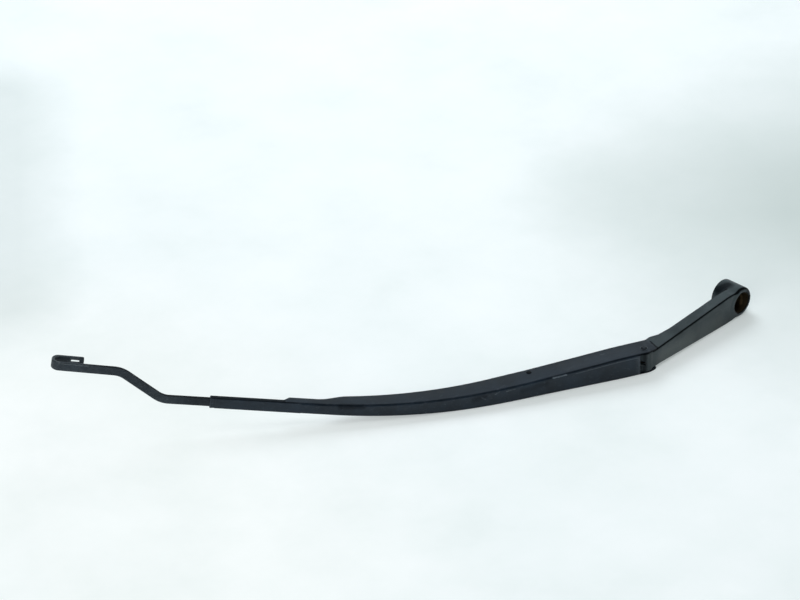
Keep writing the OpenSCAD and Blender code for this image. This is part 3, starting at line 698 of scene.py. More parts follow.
def link_field(p):
    """Distance from the link, with x and z in its plane and y through it.
    The arc is the distance from a circle, or from its ends outside 184 to 356 degrees."""
    x, y, z = p[..., 0], p[..., 1], p[..., 2]
    u, v = x - BOW_C[0], z - BOW_C[1]
    ends = [BOW_R * np.array([math.cos(math.radians(g)), math.sin(math.radians(g))]) for g in ARC_ENDS]
    to_ends = np.minimum(np.hypot(u - ends[0][0], v - ends[0][1]), np.hypot(u - ends[1][0], v - ends[1][1]))
    flat = np.where(v < ends[0][1], np.abs(np.hypot(u, v) - BOW_R), to_ends) - LINK_W / 2
    flat = soft_min(flat, np.hypot(x, z) - SPRING_PIN_D / 2 - EYE_WALL, LINK_FILLET)
    neck = box2(x - TAB_X + NECK, z, NECK, NECK, NECK_CORNER)
    flat = soft_min(soft_min(flat, neck, LINK_FILLET), np.hypot(x - TAB_X, z) - TAB_R, TAB_FILLET)
    flat = np.maximum(flat, SPRING_PIN_D / 2 + 0.05 - np.hypot(x, z))
    flat = np.maximum(flat, (WIRE_D + 1) / 2 - np.hypot(x - TAB_X, z))
    r, thick = LINK_EDGE, np.abs(y) - LINK_T / 2
    return (np.hypot(np.maximum(flat + r, 0), np.maximum(thick + r, 0))
            + np.minimum(np.maximum(flat + r, thick + r), 0) - r)


LINK_CELL = 0.28
link_xyz, link_quads = surface_nets(link_field, (-6, -2.4, -13), (33, 2.4, 6), LINK_CELL)
link = add_object(new_mesh("spring_link_punched", spring_frame(link_xyz), link_quads), 50)
seat(link, "link", "link_steel", "spring_link")

# %% [markdown]
# ## The pull spring
# Real pull springs are one wire: a loop, close coils, and a loop at the other end. A screw modifier gives the
# coils but not the loops. Here the centre line of the whole wire is one list of points with a hint of which
# way is out at each of them, and a circle is carried along it.

# %% Spring surface
LOOP_R = 3.4
MEAN_R = (SPRING_D - WIRE_D) / 2
NEAR_X = TAB_X + LOOP_R
LOOP_HANDLE, COIL_HANDLE = 3.0, 3.5        # how far the bridges keep the direction of the loops and the coils
FAR_X = LINE_LEN + ANCHOR_PIN_D / 2 + 0.1 - LOOP_R + WIRE_D / 2
COIL_FROM = NEAR_X + 2.1
COILS = int((FAR_X - 2.5 - COIL_FROM) // WIRE_D)


def unit(v):
    """Rows of vectors, each made one long."""
    return v / np.linalg.norm(v, axis=-1, keepdims=True)


def hermite(p0, m0, p1, m1, n=14):
    """A smooth bridge from p0 to p1 that leaves along m0 and arrives along m1, without its end points."""
    t = np.linspace(0, 1, n + 2)[1:-1, None]
    return ((2 * t ** 3 - 3 * t ** 2 + 1) * p0 + (t ** 3 - 2 * t ** 2 + t) * m0
            + (3 * t ** 2 - 2 * t ** 3) * p1 + (t ** 3 - t ** 2) * m1)


def spring_line():
    """Centre line of the wire and the outward hint at each point, in the spring's own frame.
    Coils: x = x0 + pitch * phi / 2 pi, y = R cos phi, z = R sin phi. Loops are flat circles of radius LOOP_R."""
    x0, x1 = COIL_FROM + WIRE_D / 2, COIL_FROM + (COILS - 0.5) * WIRE_D
    phi = np.arange(math.radians(35), 2 * math.pi * (COILS - 1) + math.radians(55), math.radians(15))
    pitch = (x1 - x0) / (phi[-1] - phi[0])
    coil = np.stack([x0 + pitch * (phi - phi[0]), MEAN_R * np.cos(phi), MEAN_R * np.sin(phi)], -1)
    coil_out = np.stack([0 * phi, np.cos(phi), np.sin(phi)], -1)
    u = np.radians(np.arange(283, 89, -7.0))
    near = np.stack([NEAR_X + LOOP_R * np.cos(u), LOOP_R * np.sin(u), 0 * u], -1)
    near_out = np.stack([np.cos(u), np.sin(u), 0 * u], -1)
    w = np.radians(np.arange(90, -104, -7.0))
    far = np.stack([FAR_X + LOOP_R * np.cos(w), 0 * w, LOOP_R * np.sin(w)], -1)
    far_out = np.stack([np.cos(w), 0 * w, np.sin(w)], -1)
    first = unit(coil[1] - coil[0]) * COIL_HANDLE
    last = unit(coil[-1] - coil[-2]) * COIL_HANDLE
    bridge_a = hermite(near[-1], np.array([LOOP_HANDLE, 0, 0]), coil[0], first)
    bridge_b = hermite(coil[-1], last, far[0], np.array([LOOP_HANDLE, 0, 0]))
    share = np.linspace(0, 1, len(bridge_a))[:, None]
    out_a = mix(near_out[-1], coil_out[0], share)
    out_b = mix(coil_out[-1], far_out[0], share)
    return np.vstack([near, bridge_a, coil, bridge_b, far]), np.vstack([near_out, out_a, coil_out, out_b, far_out])


def wire_rings(line_points, hint, radius, n=12):
    """Circles round a line: the hint, made square to the line's direction, and the cross of the two."""
    along = unit(np.gradient(line_points, axis=0))
    out = unit(hint - along * (hint * along).sum(-1, keepdims=True))
    other = np.cross(along, out)
    t = np.linspace(0, 2 * np.pi, n, endpoint=False)
    return line_points[:, None] + radius * (np.cos(t)[:, None] * out[:, None] + np.sin(t)[:, None] * other[:, None])


wire, wire_out = spring_line()
spring_rings = spring_frame(wire_rings(wire, wire_out, WIRE_D / 2 - 0.01))
spring = add_object(closed_tube("pull_spring_wire", spring_rings), 60)
seat(spring, "link", "spring_steel", "tension_spring")
print("coils:", COILS, "wire points:", len(wire))

# %% [markdown]
# ## Where a surface is worn
# Paint wears first where a surface sticks out, and the coat is made darker where it turns in. Blender has a
# pointiness value, but it depends on the mesh. Here each vertex gets its own number from its neighbours: how far
# they lie behind its tangent plane, spread a little along the surface, and kept as an attribute that the materials
# read.

# %% Wear attribute
SPREAD_ROUNDS, SHORTEST_MM = 3, 0.15


def wear_attribute(obj):
    """For each vertex the mean of -(neighbour - vertex) . normal, over the distance: above 0 where the surface
    bulges, below 0 in corners. The mean over neighbours is repeated to spread it."""
    mesh = obj.data
    n = len(mesh.vertices)
    xyz, normal = np.empty(3 * n), np.empty(3 * n)
    mesh.vertices.foreach_get("co", xyz)
    mesh.vertex_normals.foreach_get("vector", normal)
    xyz, normal = xyz.reshape(-1, 3) / MM, normal.reshape(-1, 3)
    pairs = np.empty(2 * len(mesh.edges), int)
    mesh.edges.foreach_get("vertices", pairs)
    pairs = pairs.reshape(-1, 2)
    pairs = np.vstack([pairs, pairs[:, ::-1]])
    step = xyz[pairs[:, 1]] - xyz[pairs[:, 0]]
    dist = np.maximum(np.linalg.norm(step, axis=1), 1e-6)
    bulge = -(step * normal[pairs[:, 0]]).sum(1) / dist / np.maximum(dist, SHORTEST_MM)
    count = np.maximum(np.bincount(pairs[:, 0], minlength=n), 1)
    value = np.bincount(pairs[:, 0], bulge, n) / count
    for _ in range(SPREAD_ROUNDS):
        value = 0.5 * value + 0.5 * np.bincount(pairs[:, 0], value[pairs[:, 1]], n) / count
    layer = mesh.attributes.new("wear", "FLOAT", "POINT")
    layer.data.foreach_set("value", value.astype(np.float32))
    print(obj.name, "wear 2%..98%:", np.round(np.percentile(value, [2, 50, 98]), 3))


for piece in (head, channel, sleeve, rod, hinge_pin, anchor_pin, link):
    wear_attribute(piece)

# %% [markdown]
# ## Where the coat is gone, and where edges get painted shade
# Two more numbers are kept at the vertices. `bare` is 1 in the nut recess, where the paint is rubbed off. The
# other is high along rounded edges, rims and lips, and darkens them with painted shade, which stands in for the
# dark reflections and shadow that fall there. Both are formulas of place and normal, so they follow the shape and
# need no painting by hand.

# %% Bare recess and paint bead
def mark(obj, name, formula):
    """Keeps a number per vertex as an attribute: a formula of the places (mm) and the normals."""
    xyz, normal = np.empty(3 * len(obj.data.vertices)), np.empty(3 * len(obj.data.vertices))
    obj.data.vertices.foreach_get("co", xyz)
    obj.data.vertex_normals.foreach_get("vector", normal)
    layer = obj.data.attributes.new(name, "FLOAT", "POINT")
    layer.data.foreach_set("value", formula(xyz.reshape(-1, 3) / MM, normal.reshape(-1, 3)).astype(np.float32))


def far_from_axis(p):
    """Distance from the spindle axis in mm."""
    return np.hypot(p[:, 0], p[:, 1])


# bare: 1 in the recess, where the spindle and its nut have rubbed the paint off
mark(head, "bare", lambda p, n: ramp(far_from_axis(p), RECESS_R + 0.5, RECESS_R + 0.1)
     * ramp(p[:, 2], DRUM_H - 0.2, DRUM_H - 1.4))


def on_edge(lean):
    """1 on a rounded edge, from how far the normal leans away from the broad face (0) to the side (1)."""
    return ramp(lean, 0.40, 0.62) * ramp(lean, 1.0, 0.96)


def channel_place(p):
    """Distance along the channel and height out of its middle line, for points near it."""
    s = np.interp(p[:, 0], path_xyz[:, 0], path_s)
    for _ in range(3):
        along, _, out = directions(s)
        rel = p - along_channel(s, 0.0, 0.0)
        s = s + (rel * along).sum(1)
    return s, (rel * out).sum(1)


def channel_edge_shade(p, n):
    """Painted shade: strong along the fold near the hinge, fainter further on; the lips and the rims of the ears have
    it too.
    """
    s, height = channel_place(p)
    fold = 0.62 * on_edge(np.abs(n[:, 1])) * (1 - 0.5 * ramp(s, 60, 120))
    depth = WEB_H - height
    lips = 0.55 * ramp(depth / channel_depth(s), 0.8, 0.95)
    ears = 0.9 * (s < WEB_START) * ramp(np.abs(n[:, 1]), 0.95, 0.8)
    return np.maximum(np.maximum(fold, lips), ears)


def head_edge_shade(p, n):
    """Painted shade round the mouth of the recess and inside it, and along the rounded edges of the drum and the beam,
    up to the knuckle.
    """
    mouth = ramp(far_from_axis(p), RECESS_R + 0.8, RECESS_R + 0.5)
    edges = on_edge(np.hypot(n[:, 0], n[:, 1]))
    return np.where(far_from_axis(p) < RECESS_R + 0.8, mouth, edges) * (p[:, 0] < 136)


# painted shade: 1 where a rounded edge, rim or lip is darkened in place of the dark reflection and shadow there
mark(head, "edge_shade", head_edge_shade)
mark(channel, "edge_shade", channel_edge_shade)
mark(sleeve, "edge_shade", lambda p, n: 0.75 * ramp(np.abs(n[:, 1]), 0.35, 0.7))
mark(rod, "edge_shade", lambda p, n: ramp(np.abs(n[:, 1]), 0.35, 0.7) * mix(0.75, 0.25, ramp(p[:, 0], 575, 590)))
# on the hinge rivet the painted shade is a dark ring on each head, and the anchor rivet is darkened all over
mark(hinge_pin, "edge_shade", lambda p, n: ramp(np.abs(np.hypot(p[:, 0] - HINGE[0], p[:, 2] - HINGE[2]) - 2.3), 0.9, 0.3))
mark(anchor_pin, "edge_shade", lambda p, n: np.full(len(p), 0.9))

# %% [markdown]
# ## Materials
# A material is a small graph of nodes. One function below adds a node, sets it and links it, so that each
# material reads like a list. Colours are written as in a paint program and turned to linear light by one
# function. Sizes of patterns are given in millimetres, and `per` turns a size into a texture scale.

# %% Node helpers
def linear(hex_colour):
    """An sRGB hex colour as linear light: c / 12.92 below 0.04045, else ((c + 0.055) / 1.055) ** 2.4."""
    c = np.array([int(hex_colour[k:k + 2], 16) for k in (1, 3, 5)]) / 255
    return (*np.where(c < 0.04045, c / 12.92, ((c + 0.055) / 1.055) ** 2.4).tolist(), 1.0)


def per(size_mm):
    """Texture scale for features of about this size."""
    return 1 / (size_mm * MM)


def add(tree, kind, stops=(), **given):
    """Adds one node. A lower case name is a setting; in0, in1.. or a socket's name with _ for spaces is an input,
    which takes a value or is linked to another node's output. stops are (place, colour) of a ramp."""
    made = tree.nodes.new("ShaderNode" + kind)
    for key, value in given.items():
        if key[:2] == "in" and key[2:].isdigit():
            socket = made.inputs[int(key[2:])]
        elif key[0].isupper():
            socket = made.inputs[key.replace("_", " ")]
        else:
            setattr(made, key, value)
            continue
        if isinstance(value, bpy.types.NodeSocket):
            tree.links.new(value, socket)
        else:
            socket.default_value = value
    if stops:
        while len(made.color_ramp.elements) < len(stops):
            made.color_ramp.elements.new(0.5)
        for element, (place, tint) in zip(made.color_ramp.elements, stops):
            element.position, element.color = place, tint
    return made


def new_material(name):
    """An empty node material, with its tree and its output node."""
    material = bpy.data.materials.new(name)
    material.use_nodes = True
    material.node_tree.nodes.clear()
    return material, material.node_tree, material.node_tree.nodes.new("ShaderNodeOutputMaterial")


def finish_material(material, end, shader, *objects):
    """Links the shader to the output and puts the material on the objects."""
    tree = material.node_tree
    tree.links.new(shader.outputs[0], end.inputs["Surface"])
    for obj in objects:
        obj.data.materials.clear()
        obj.data.materials.append(material)
    print(material.name, "nodes:", len(tree.nodes))


# %% [markdown]
# ### Satin black paint
# The casting, the sheet and the bar wear the same kind of finish: a black dip coat, baked to a satin. It gives
# the eye a soft blue grey sheen with a fine peel, specks of dust in patches, drawn scuffs and paler, rubbed
# edges. Along rounded edges a nearly black painted shade stands in for the dark reflections and shadow there. In
# the nut recess the coat is gone, and there is brown metal with a painted highlight on its wall. The three differ
# in tint, in peel and in how rough they are.
#
# What no formula of the shape gives is listed as soft lines in the part's own space: pale rubs, darker lines
# that are in part painted shade, and painted highlights.

# %% Soft lines
def near_lines(t, at, marks):
    """Sum of soft lines: for each mark the distance to the line from a to b (mm) over its half width."""
    total = 0.0
    for a, b, half_mm, strength in marks:
        a, b = np.array(a) * MM, np.array(b) * MM
        rel = add(t, "VectorMath", operation="SUBTRACT", in0=at, in1=tuple(a)).outputs[0]
        share = add(t, "VectorMath", operation="DOT_PRODUCT", in0=rel, in1=tuple((b - a) / ((b - a) @ (b - a))))
        share = add(t, "Clamp", Value=share.outputs["Value"]).outputs[0]
        foot = add(t, "VectorMath", operation="SCALE", in0=tuple(b - a), Scale=share).outputs[0]
        away = add(t, "VectorMath", operation="DISTANCE", in0=rel, in1=foot).outputs["Value"]
        spot = add(t, "MapRange", Value=away, in1=half_mm * MM, in2=0.3 * half_mm * MM, in4=strength).outputs[0]
        total = add(t, "Math", operation="ADD", in0=total, in1=spot).outputs[0]
    return total


# %% [markdown]
# The coat is built up in layers, and each function below lays two or three of them over the colour it is given.
# Where a layer changes the roughness or the sheen as well, its strength is handed back too.

# %% Layers of the paint
# sizes of the patterns in mm
SLOW_MM, BLOTCH_MM, SPECK_MM, STREAK_MM, WAVE_MM = 26, 4.2, 0.7, 1.6, 3.0
WAVE_SHIFT = 0.001                         # metres by which a noise moves the hand-set lines, to each side
# the first tint darkens corners, the second darkens listed lines, in part as painted shade, the third is painted shade
# along rounded edges, and the last two are the bare metal of the recess
CORNER_DARK_TINT, DARK_MARK_TINT, EDGE_SHADE_TINT, BARE_DARK, BARE_LIGHT = "#14130f", "#080b10", "#06080a", "#11100c", "#4e4330"


def dust_and_scuffs(t, at, body, dust, patch, scuff):
    """Small pale dots, and streaks drawn out along the part, both only where the blotches are high."""
    speck = add(t, "TexNoise", Vector=at, Scale=per(SPECK_MM), Detail=1.0).outputs[0]
    dots = add(t, "MapRange", Value=speck, in1=0.60, in2=0.74).outputs[0]
    film = add(t, "Math", operation="MULTIPLY", in0=dots, in1=patch).outputs[0]
    film = add(t, "Math", operation="MULTIPLY", in0=film, in1=0.30).outputs[0]
    body = add(t, "Mix", data_type="RGBA", in0=film, in6=body, in7=linear(dust)).outputs[2]
    drawn = add(t, "Mapping", Vector=at, in3=(0.16, 1.0, 1.0)).outputs[0]
    streak = add(t, "TexNoise", Vector=drawn, Scale=per(STREAK_MM), Detail=3.0, Roughness=0.6).outputs[0]
    streak = add(t, "MapRange", Value=streak, in1=0.58, in2=0.72).outputs[0]
    streak = add(t, "Math", operation="MULTIPLY", in0=streak, in1=patch).outputs[0]
    streak = add(t, "Math", operation="MULTIPLY", in0=streak, in1=scuff).outputs[0]
    return add(t, "Mix", data_type="RGBA", in0=streak, in6=body, in7=linear(dust)).outputs[2], film


def worn_edges(t, body, dust, blotch, edge_lift):
    """Paler where the wear attribute is high and dark in corners. The blotches keep the line uneven."""
    wear = add(t, "Attribute", attribute_name="wear").outputs["Fac"]
    ragged = add(t, "Math", operation="MULTIPLY_ADD", in0=blotch, in1=0.16, in2=-0.08).outputs[0]
    wear = add(t, "Math", operation="ADD", in0=wear, in1=ragged).outputs[0]
    rub = add(t, "MapRange", Value=wear, in1=0.10, in2=0.30, in4=edge_lift).outputs[0]
    body = add(t, "Mix", data_type="RGBA", in0=rub, in6=body, in7=linear(dust)).outputs[2]
    corner_dark = add(t, "MapRange", Value=wear, in1=-0.06, in2=-0.25, in4=0.6).outputs[0]
    return add(t, "Mix", data_type="RGBA", in0=corner_dark, in6=body, in7=linear(CORNER_DARK_TINT)).outputs[2], rub


def wavy_place(t, at):
    """The place, moved a little to and fro by a noise, so that a listed line doesn't look ruled."""
    wave = add(t, "TexNoise", Vector=at, Scale=per(WAVE_MM), Detail=3.0).outputs[1]
    wave = add(t, "VectorMath", operation="MULTIPLY_ADD", in0=wave, in1=(2 * WAVE_SHIFT,) * 3, in2=at).outputs[0]
    return add(t, "VectorMath", operation="SUBTRACT", in0=wave, in1=(WAVE_SHIFT,) * 3).outputs[0]


def rubs_shade_and_highlights(t, at, wavy, body, dust, patch, rubs, dark_marks, painted_highlights):
    """Pale rubs broken up by the blotches, darker lines that are in part painted shade, and painted highlights."""
    broken = add(t, "MapRange", Value=patch, in3=0.4).outputs[0]
    rubbed = add(t, "Math", operation="MULTIPLY", in0=near_lines(t, wavy, rubs), in1=broken).outputs[0]
    body = add(t, "Mix", data_type="RGBA", in0=rubbed, in6=body, in7=linear(dust)).outputs[2]
    darkening = near_lines(t, wavy, dark_marks)
    body = add(t, "Mix", data_type="RGBA", in0=darkening, in6=body, in7=linear(DARK_MARK_TINT)).outputs[2]
    highlight_mask = near_lines(t, at, painted_highlights)
    return add(t, "Mix", data_type="RGBA", in0=highlight_mask, in6=body, in7=linear(dust)).outputs[2], darkening


def edge_shade_and_recess(t, wavy, body, blotch, darkening, spec, recess_highlights):
    """The painted shade of rounded edges, which like the darker lines has no sheen, and the brown, oily metal of the
    nut recess.
    """
    edge_shade = add(t, "Attribute", attribute_name="edge_shade").outputs["Fac"]
    body = add(t, "Mix", data_type="RGBA", in0=edge_shade, in6=body, in7=linear(EDGE_SHADE_TINT)).outputs[2]
    dull = add(t, "Math", operation="MAXIMUM", in0=edge_shade, in1=darkening).outputs[0]
    sheen = add(t, "MapRange", Value=dull, in3=spec, in4=0.04).outputs[0]
    bare = add(t, "Attribute", attribute_name="bare").outputs["Fac"]
    # the share of the paler brown: random, plus a painted highlight on the wall of the recess
    recess_highlight = near_lines(t, wavy, recess_highlights)
    paler_share = add(t, "Math", operation="MULTIPLY_ADD", in0=blotch, in1=0.5, in2=recess_highlight, use_clamp=True).outputs[0]
    oily = add(t, "Mix", data_type="RGBA", in0=paler_share, in6=linear(BARE_DARK), in7=linear(BARE_LIGHT)).outputs[2]
    return add(t, "Mix", data_type="RGBA", in0=bare, in6=body, in7=oily).outputs[2], sheen


# %% [markdown]
# The paint itself mixes two tints by a slow noise and lays the layers over them. Its roughness follows the same
# marks: rubbed paint is smoother and dust is matt. Its bump is the peel of a coat that was dipped.

# %% Satin paint
def satin_paint(name, objects, base, pale, dust, rough, peel_mm, peel_depth, edge_lift, scuff, spec,
                rubs=(), dark_marks=(), painted_highlights=(), recess_highlights=()):
    """A dip coat. The four lists are soft lines: from, to, half width in mm and strength. The pale rubs are wear, the
    dark lines are in part painted shade, and the last two lists are painted highlights.
    """
    material, t, end = new_material(name)
    at = add(t, "TexCoord").outputs["Object"]
    slow = add(t, "TexNoise", Vector=at, Scale=per(SLOW_MM), Detail=3.0, Roughness=0.55).outputs[0]
    blotch = add(t, "TexNoise", Vector=at, Scale=per(BLOTCH_MM), Detail=4.0, Roughness=0.6).outputs[0]
    peel = add(t, "TexNoise", Vector=at, Scale=per(peel_mm), Detail=2.0, Roughness=0.5).outputs[0]
    patch = add(t, "MapRange", Value=blotch, in1=0.42, in2=0.66).outputs[0]
    tint = add(t, "MapRange", Value=slow, in1=0.35, in2=0.68).outputs[0]
    body = add(t, "Mix", data_type="RGBA", in0=tint, in6=linear(base), in7=linear(pale)).outputs[2]
    body, film = dust_and_scuffs(t, at, body, dust, patch, scuff)
    body, rub = worn_edges(t, body, dust, blotch, edge_lift)
    wavy = wavy_place(t, at)
    body, darkening = rubs_shade_and_highlights(t, at, wavy, body, dust, patch, rubs, dark_marks, painted_highlights)
    body, sheen = edge_shade_and_recess(t, wavy, body, blotch, darkening, spec, recess_highlights)
    gloss = add(t, "MapRange", Value=blotch, in1=0.3, in2=0.7, in3=rough - 0.06, in4=rough + 0.07).outputs[0]
    gloss = add(t, "Math", operation="MULTIPLY_ADD", in0=film, in1=0.4, in2=gloss).outputs[0]
    gloss = add(t, "Math", operation="MULTIPLY_ADD", in0=rub, in1=-0.12, in2=gloss, use_clamp=True).outputs[0]
    high = add(t, "Math", operation="MULTIPLY_ADD", in0=slow, in1=1.2, in2=peel).outputs[0]
    bump = add(t, "Bump", Strength=0.5, Distance=peel_depth * MM, Height=high).outputs[0]
    shader = add(t, "BsdfPrincipled", Base_Color=body, Roughness=gloss, IOR=1.5, Specular_IOR_Level=sheen, Normal=bump)
    finish_material(material, end, shader, *objects)


# %% [markdown]
# #### The casting
# The head is the palest of the three, a dusty grey. Painted shade lies at the rim of the round end, on the side
# of the round end under the beam, in the gap at the knuckle and beside an ear; a darker line runs along the side
# of the beam, and painted highlights lie on its outer face.

# %% Paint on the casting
# beside an ear, the gap at the knuckle, the round end under the beam, the side of the beam and two at the rim: all but
# the side of the beam are painted shade
HEAD_DARK_MARKS = [
    ((128.4, -9.7, 27.2), (124.4, -9.7, 14.0), 1.6, 0.9), ((146.4, -9.6, 26.2), (146.4, 9.6, 26.2), 3.4, 0.75),
    ((10.6, -11.6, 5.5), (2.5, -15.4, 10.5), 8.0, 0.85), ((55.0, -10.0, 16.0), (95.0, -10.0, 21.0), 11.0, 0.26),
    ((-9.5, -9.5, 26.0), (-12.5, -2.0, 26.3), 3.4, 0.75), ((-12.5, -0.5, 26.3), (-10.5, 7.5, 26.3), 3.4, 0.75)]
# painted highlights on the outer face of the beam
HEAD_HIGHLIGHTS = [((84.0, 6.0, 27.4), (120.0, 5.0, 28.2), 15.0, 0.34), ((36.0, 8.0, 27.5), (68.0, 7.0, 28.0), 14.0, 0.22)]
# a painted highlight on the wall of the nut recess
RECESS_HIGHLIGHT = [((-11.0, 0.2, 16.8), (-8.2, 7.4, 19.2), 2.4, 0.9)]
satin_paint("dip_coated_casting", [head], base="#283235", pale="#333e41", dust="#6b7270", rough=0.44,
            peel_mm=0.9, peel_depth=0.06, edge_lift=0.25, scuff=0.3, spec=0.36,
            dark_marks=HEAD_DARK_MARKS, painted_highlights=HEAD_HIGHLIGHTS, recess_highlights=RECESS_HIGHLIGHT)

# %% [markdown]
# #### The sheet
# The channel and its sleeve are bluer and darker, with a larger peel. A painted highlight runs along one fold next
# to the hinge and a faint one lies on the side wall there, pale rubs and darker lines break up the long face, and
# painted shadow lies at the back end of an ear.

# %% Paint on the sheet
SHEET_RUBS = [
    ((172.8, -10.6, -3.0), (176.6, -10.7, -4.8), 1.4, 1.0), ((233.5, -8.6, -14.4), (221.5, -8.6, -8.7), 1.2, 1.6),
    ((299.0, -3.8, -47.6), (296.0, -1.2, -46.0), 1.0, 0.5), ((287.0, -4.4, -40.9), (283.0, -6.2, -39.0), 1.0, 0.4),
    ((277.0, -5.0, -35.8), (269.0, -5.8, -31.8), 0.9, 0.4), ((330.0, -8.0, -63.0), (322.0, -4.0, -58.4), 1.0, 0.4)]
# the last is painted shadow at the back end of an ear; the others darken the long face
SHEET_DARK_MARKS = [
    ((412.0, -15.4, -125.6), (396.0, -13.0, -112.6), 4.5, 0.55), ((306.0, -2.4, -51.6), (296.0, -4.4, -46.0), 4.0, 0.4),
    ((262.0, -2.0, -28.4), (240.0, -4.0, -17.8), 4.5, 0.3), ((130.9, -12.2, 28.4), (127.9, -12.2, 18.8), 1.6, 0.95)]
# painted highlights: along one fold next to the hinge, and faintly on the side wall there
fold_highlight_s, side_highlight_s = np.array([11.0, 32.0, 75.0]), np.array([10.0, 80.0])
FOLD_HIGHLIGHT_AT = along_channel(fold_highlight_s, -channel_width(fold_highlight_s) / 2 + 2.9, WEB_H)
SIDE_HIGHLIGHT_AT = along_channel(side_highlight_s, -channel_width(side_highlight_s) / 2, WEB_H - CHANNEL_DEPTH / 2)
SHEET_HIGHLIGHTS = [(FOLD_HIGHLIGHT_AT[0], FOLD_HIGHLIGHT_AT[1], 0.7, 0.30), (FOLD_HIGHLIGHT_AT[1], FOLD_HIGHLIGHT_AT[2], 0.7, 0.30),
                (SIDE_HIGHLIGHT_AT[0], SIDE_HIGHLIGHT_AT[1], 12.0, 0.09)]
satin_paint("dip_coated_sheet", [channel, sleeve], base="#121c25", pale="#192632", dust="#5d666e", rough=0.38,
            peel_mm=1.3, peel_depth=0.05, edge_lift=0.22, scuff=0.35, spec=0.30,
            rubs=SHEET_RUBS, dark_marks=SHEET_DARK_MARKS, painted_highlights=SHEET_HIGHLIGHTS)

# %% [markdown]
# #### The bar
# The rod and the two riveted pins have the finest peel. Painted highlights run along an edge of the hook's shank
# and round its bend, and the straight and the joggle are darker than the rest.

# %% Paint on the bar
def beside_shank(u, out_mm, z):
    """A place at a distance u along the hook's shank, out_mm to its side, in the frame of the rod's end."""
    return [JOG_TO + u * turn_cos, -JOGGLE - u * turn_sin - out_mm, z]


# painted highlights along an edge of the hook's shank and round its bend
BEND_AT = [(52, 0.6), (58.6, -5.0), (52, -12.2), (32, -12.2)]
HOOK_EDGE = tail_frame(np.array([beside_shank(u, 3.6, ROD_MID + 1.5) for u in (24, 50)]))
BEND_EDGE = tail_frame(np.array([beside_shank(u, 4.3, ROD_MID + v) for u, v in BEND_AT]))
BAR_HIGHLIGHTS = [(HOOK_EDGE[0], HOOK_EDGE[1], 0.6, 0.35), (BEND_EDGE[0], BEND_EDGE[1], 1.6, 0.35),
              (BEND_EDGE[1], BEND_EDGE[2], 1.6, 0.35), (BEND_EDGE[2], BEND_EDGE[3], 1.2, 0.35)]
bare_from, bare_to, jog_from, jog_end = tail_frame(np.array([
    [-2, 0, ROD_MID], [0.75 * JOG_FROM, 0, ROD_MID],
    [0.5 * (JOG_FROM + MID_X) + 6, 0.5 * MID_Y, ROD_MID], [JOG_TO, -JOGGLE, ROD_MID]]))
BAR_DARK_MARKS = [(bare_from, bare_to, 30.0, 0.42), (jog_from, jog_end, 22.0, 0.22)]
satin_paint("dip_coated_bar", [rod, hinge_pin, anchor_pin], base="#121b23", pale="#1a242e", dust="#666e71", rough=0.40,
            peel_mm=0.8, peel_depth=0.05, edge_lift=0.3, scuff=0.3, spec=0.28,
            dark_marks=BAR_DARK_MARKS, painted_highlights=BAR_HIGHLIGHTS)

# %% [markdown]
# ### Bare metals
# The pin in the head is ground steel: bright, with fine lines. The bushes are sintered bronze, dull and
# porous, and their dark tone is painted shade for the slot they face. The link is punched plate, dark, and its
# dark tone is in part painted shade for the same slot. The spring is hard drawn wire,
# grey with a phosphate skin and some rust between the coils.

# %% Metals
def metal(name, light, dark, stain, rough, grain_mm, stretch, depth, stain_from, objects, metallic=1.0):
    """Metal of two tints mixed by a grain stretched along Y, with stains where a slow noise is high."""
    material, t, end = new_material(name)
    at = add(t, "TexCoord").outputs["Object"]
    drawn = add(t, "Mapping", Vector=at, in3=stretch).outputs[0]
    grain = add(t, "TexNoise", Vector=drawn, Scale=per(grain_mm), Detail=3.0, Roughness=0.6).outputs[0]
    slow = add(t, "TexNoise", Vector=at, Scale=per(6.0), Detail=4.0, Roughness=0.62).outputs[0]
    body = add(t, "Mix", data_type="RGBA", in0=grain, in6=linear(dark), in7=linear(light)).outputs[2]
    spots = add(t, "MapRange", Value=slow, in1=stain_from, in2=stain_from + 0.16, in4=0.85).outputs[0]
    body = add(t, "Mix", data_type="RGBA", in0=spots, in6=body, in7=linear(stain)).outputs[2]
    gloss = add(t, "MapRange", Value=grain, in1=0.3, in2=0.7, in3=rough - 0.07, in4=rough + 0.08).outputs[0]
    gloss = add(t, "Math", operation="MULTIPLY_ADD", in0=spots, in1=0.3, in2=gloss, use_clamp=True).outputs[0]
    shine = add(t, "Math", operation="MULTIPLY_ADD", in0=spots, in1=-0.7 * metallic, in2=metallic, use_clamp=True)
    bump = add(t, "Bump", Strength=0.4, Distance=depth * MM, Height=grain).outputs[0]
    shader = add(t, "BsdfPrincipled", Base_Color=body, Roughness=gloss, Metallic=shine.outputs[0], Normal=bump)
    finish_material(material, end, shader, *objects)


metal("ground_steel_pin", "#b9bab8", "#8d8e8c", "#5a4632", 0.30, 0.5, (0.2, 1.0, 1.0), 0.02, 0.62, [spring_pin])
# the bronze is darkened as painted shade for the slot the bushes face
metal("sintered_bronze", "#6e5738", "#463521", "#241a10", 0.50, 0.4, (1.0, 1.0, 1.0), 0.03, 0.58, bushes)
# the plate is dark, in part as painted shade for the slot
metal("dark_punched_plate", "#4d5054", "#33363a", "#4a3626", 0.45, 0.7, (1.0, 0.2, 1.0), 0.03, 0.60, [link])
metal("phosphated_spring_wire", "#5d5e60", "#3f4042", "#5b3a22", 0.42, 0.6, (1.0, 1.0, 1.0), 0.02, 0.57, [spring], 0.8)

# %% [markdown]
# ## Floor, light and camera
# The arm lies on its side on a pale board, seen from the front and above. Head, hinge and channel are at the
# level of the board and dip under 1 mm into it, and sleeve, rod and hook stand clear of it. Everything here is
# set up in the picture's own directions (right, away and up from the board) and turned into the CAD frame.

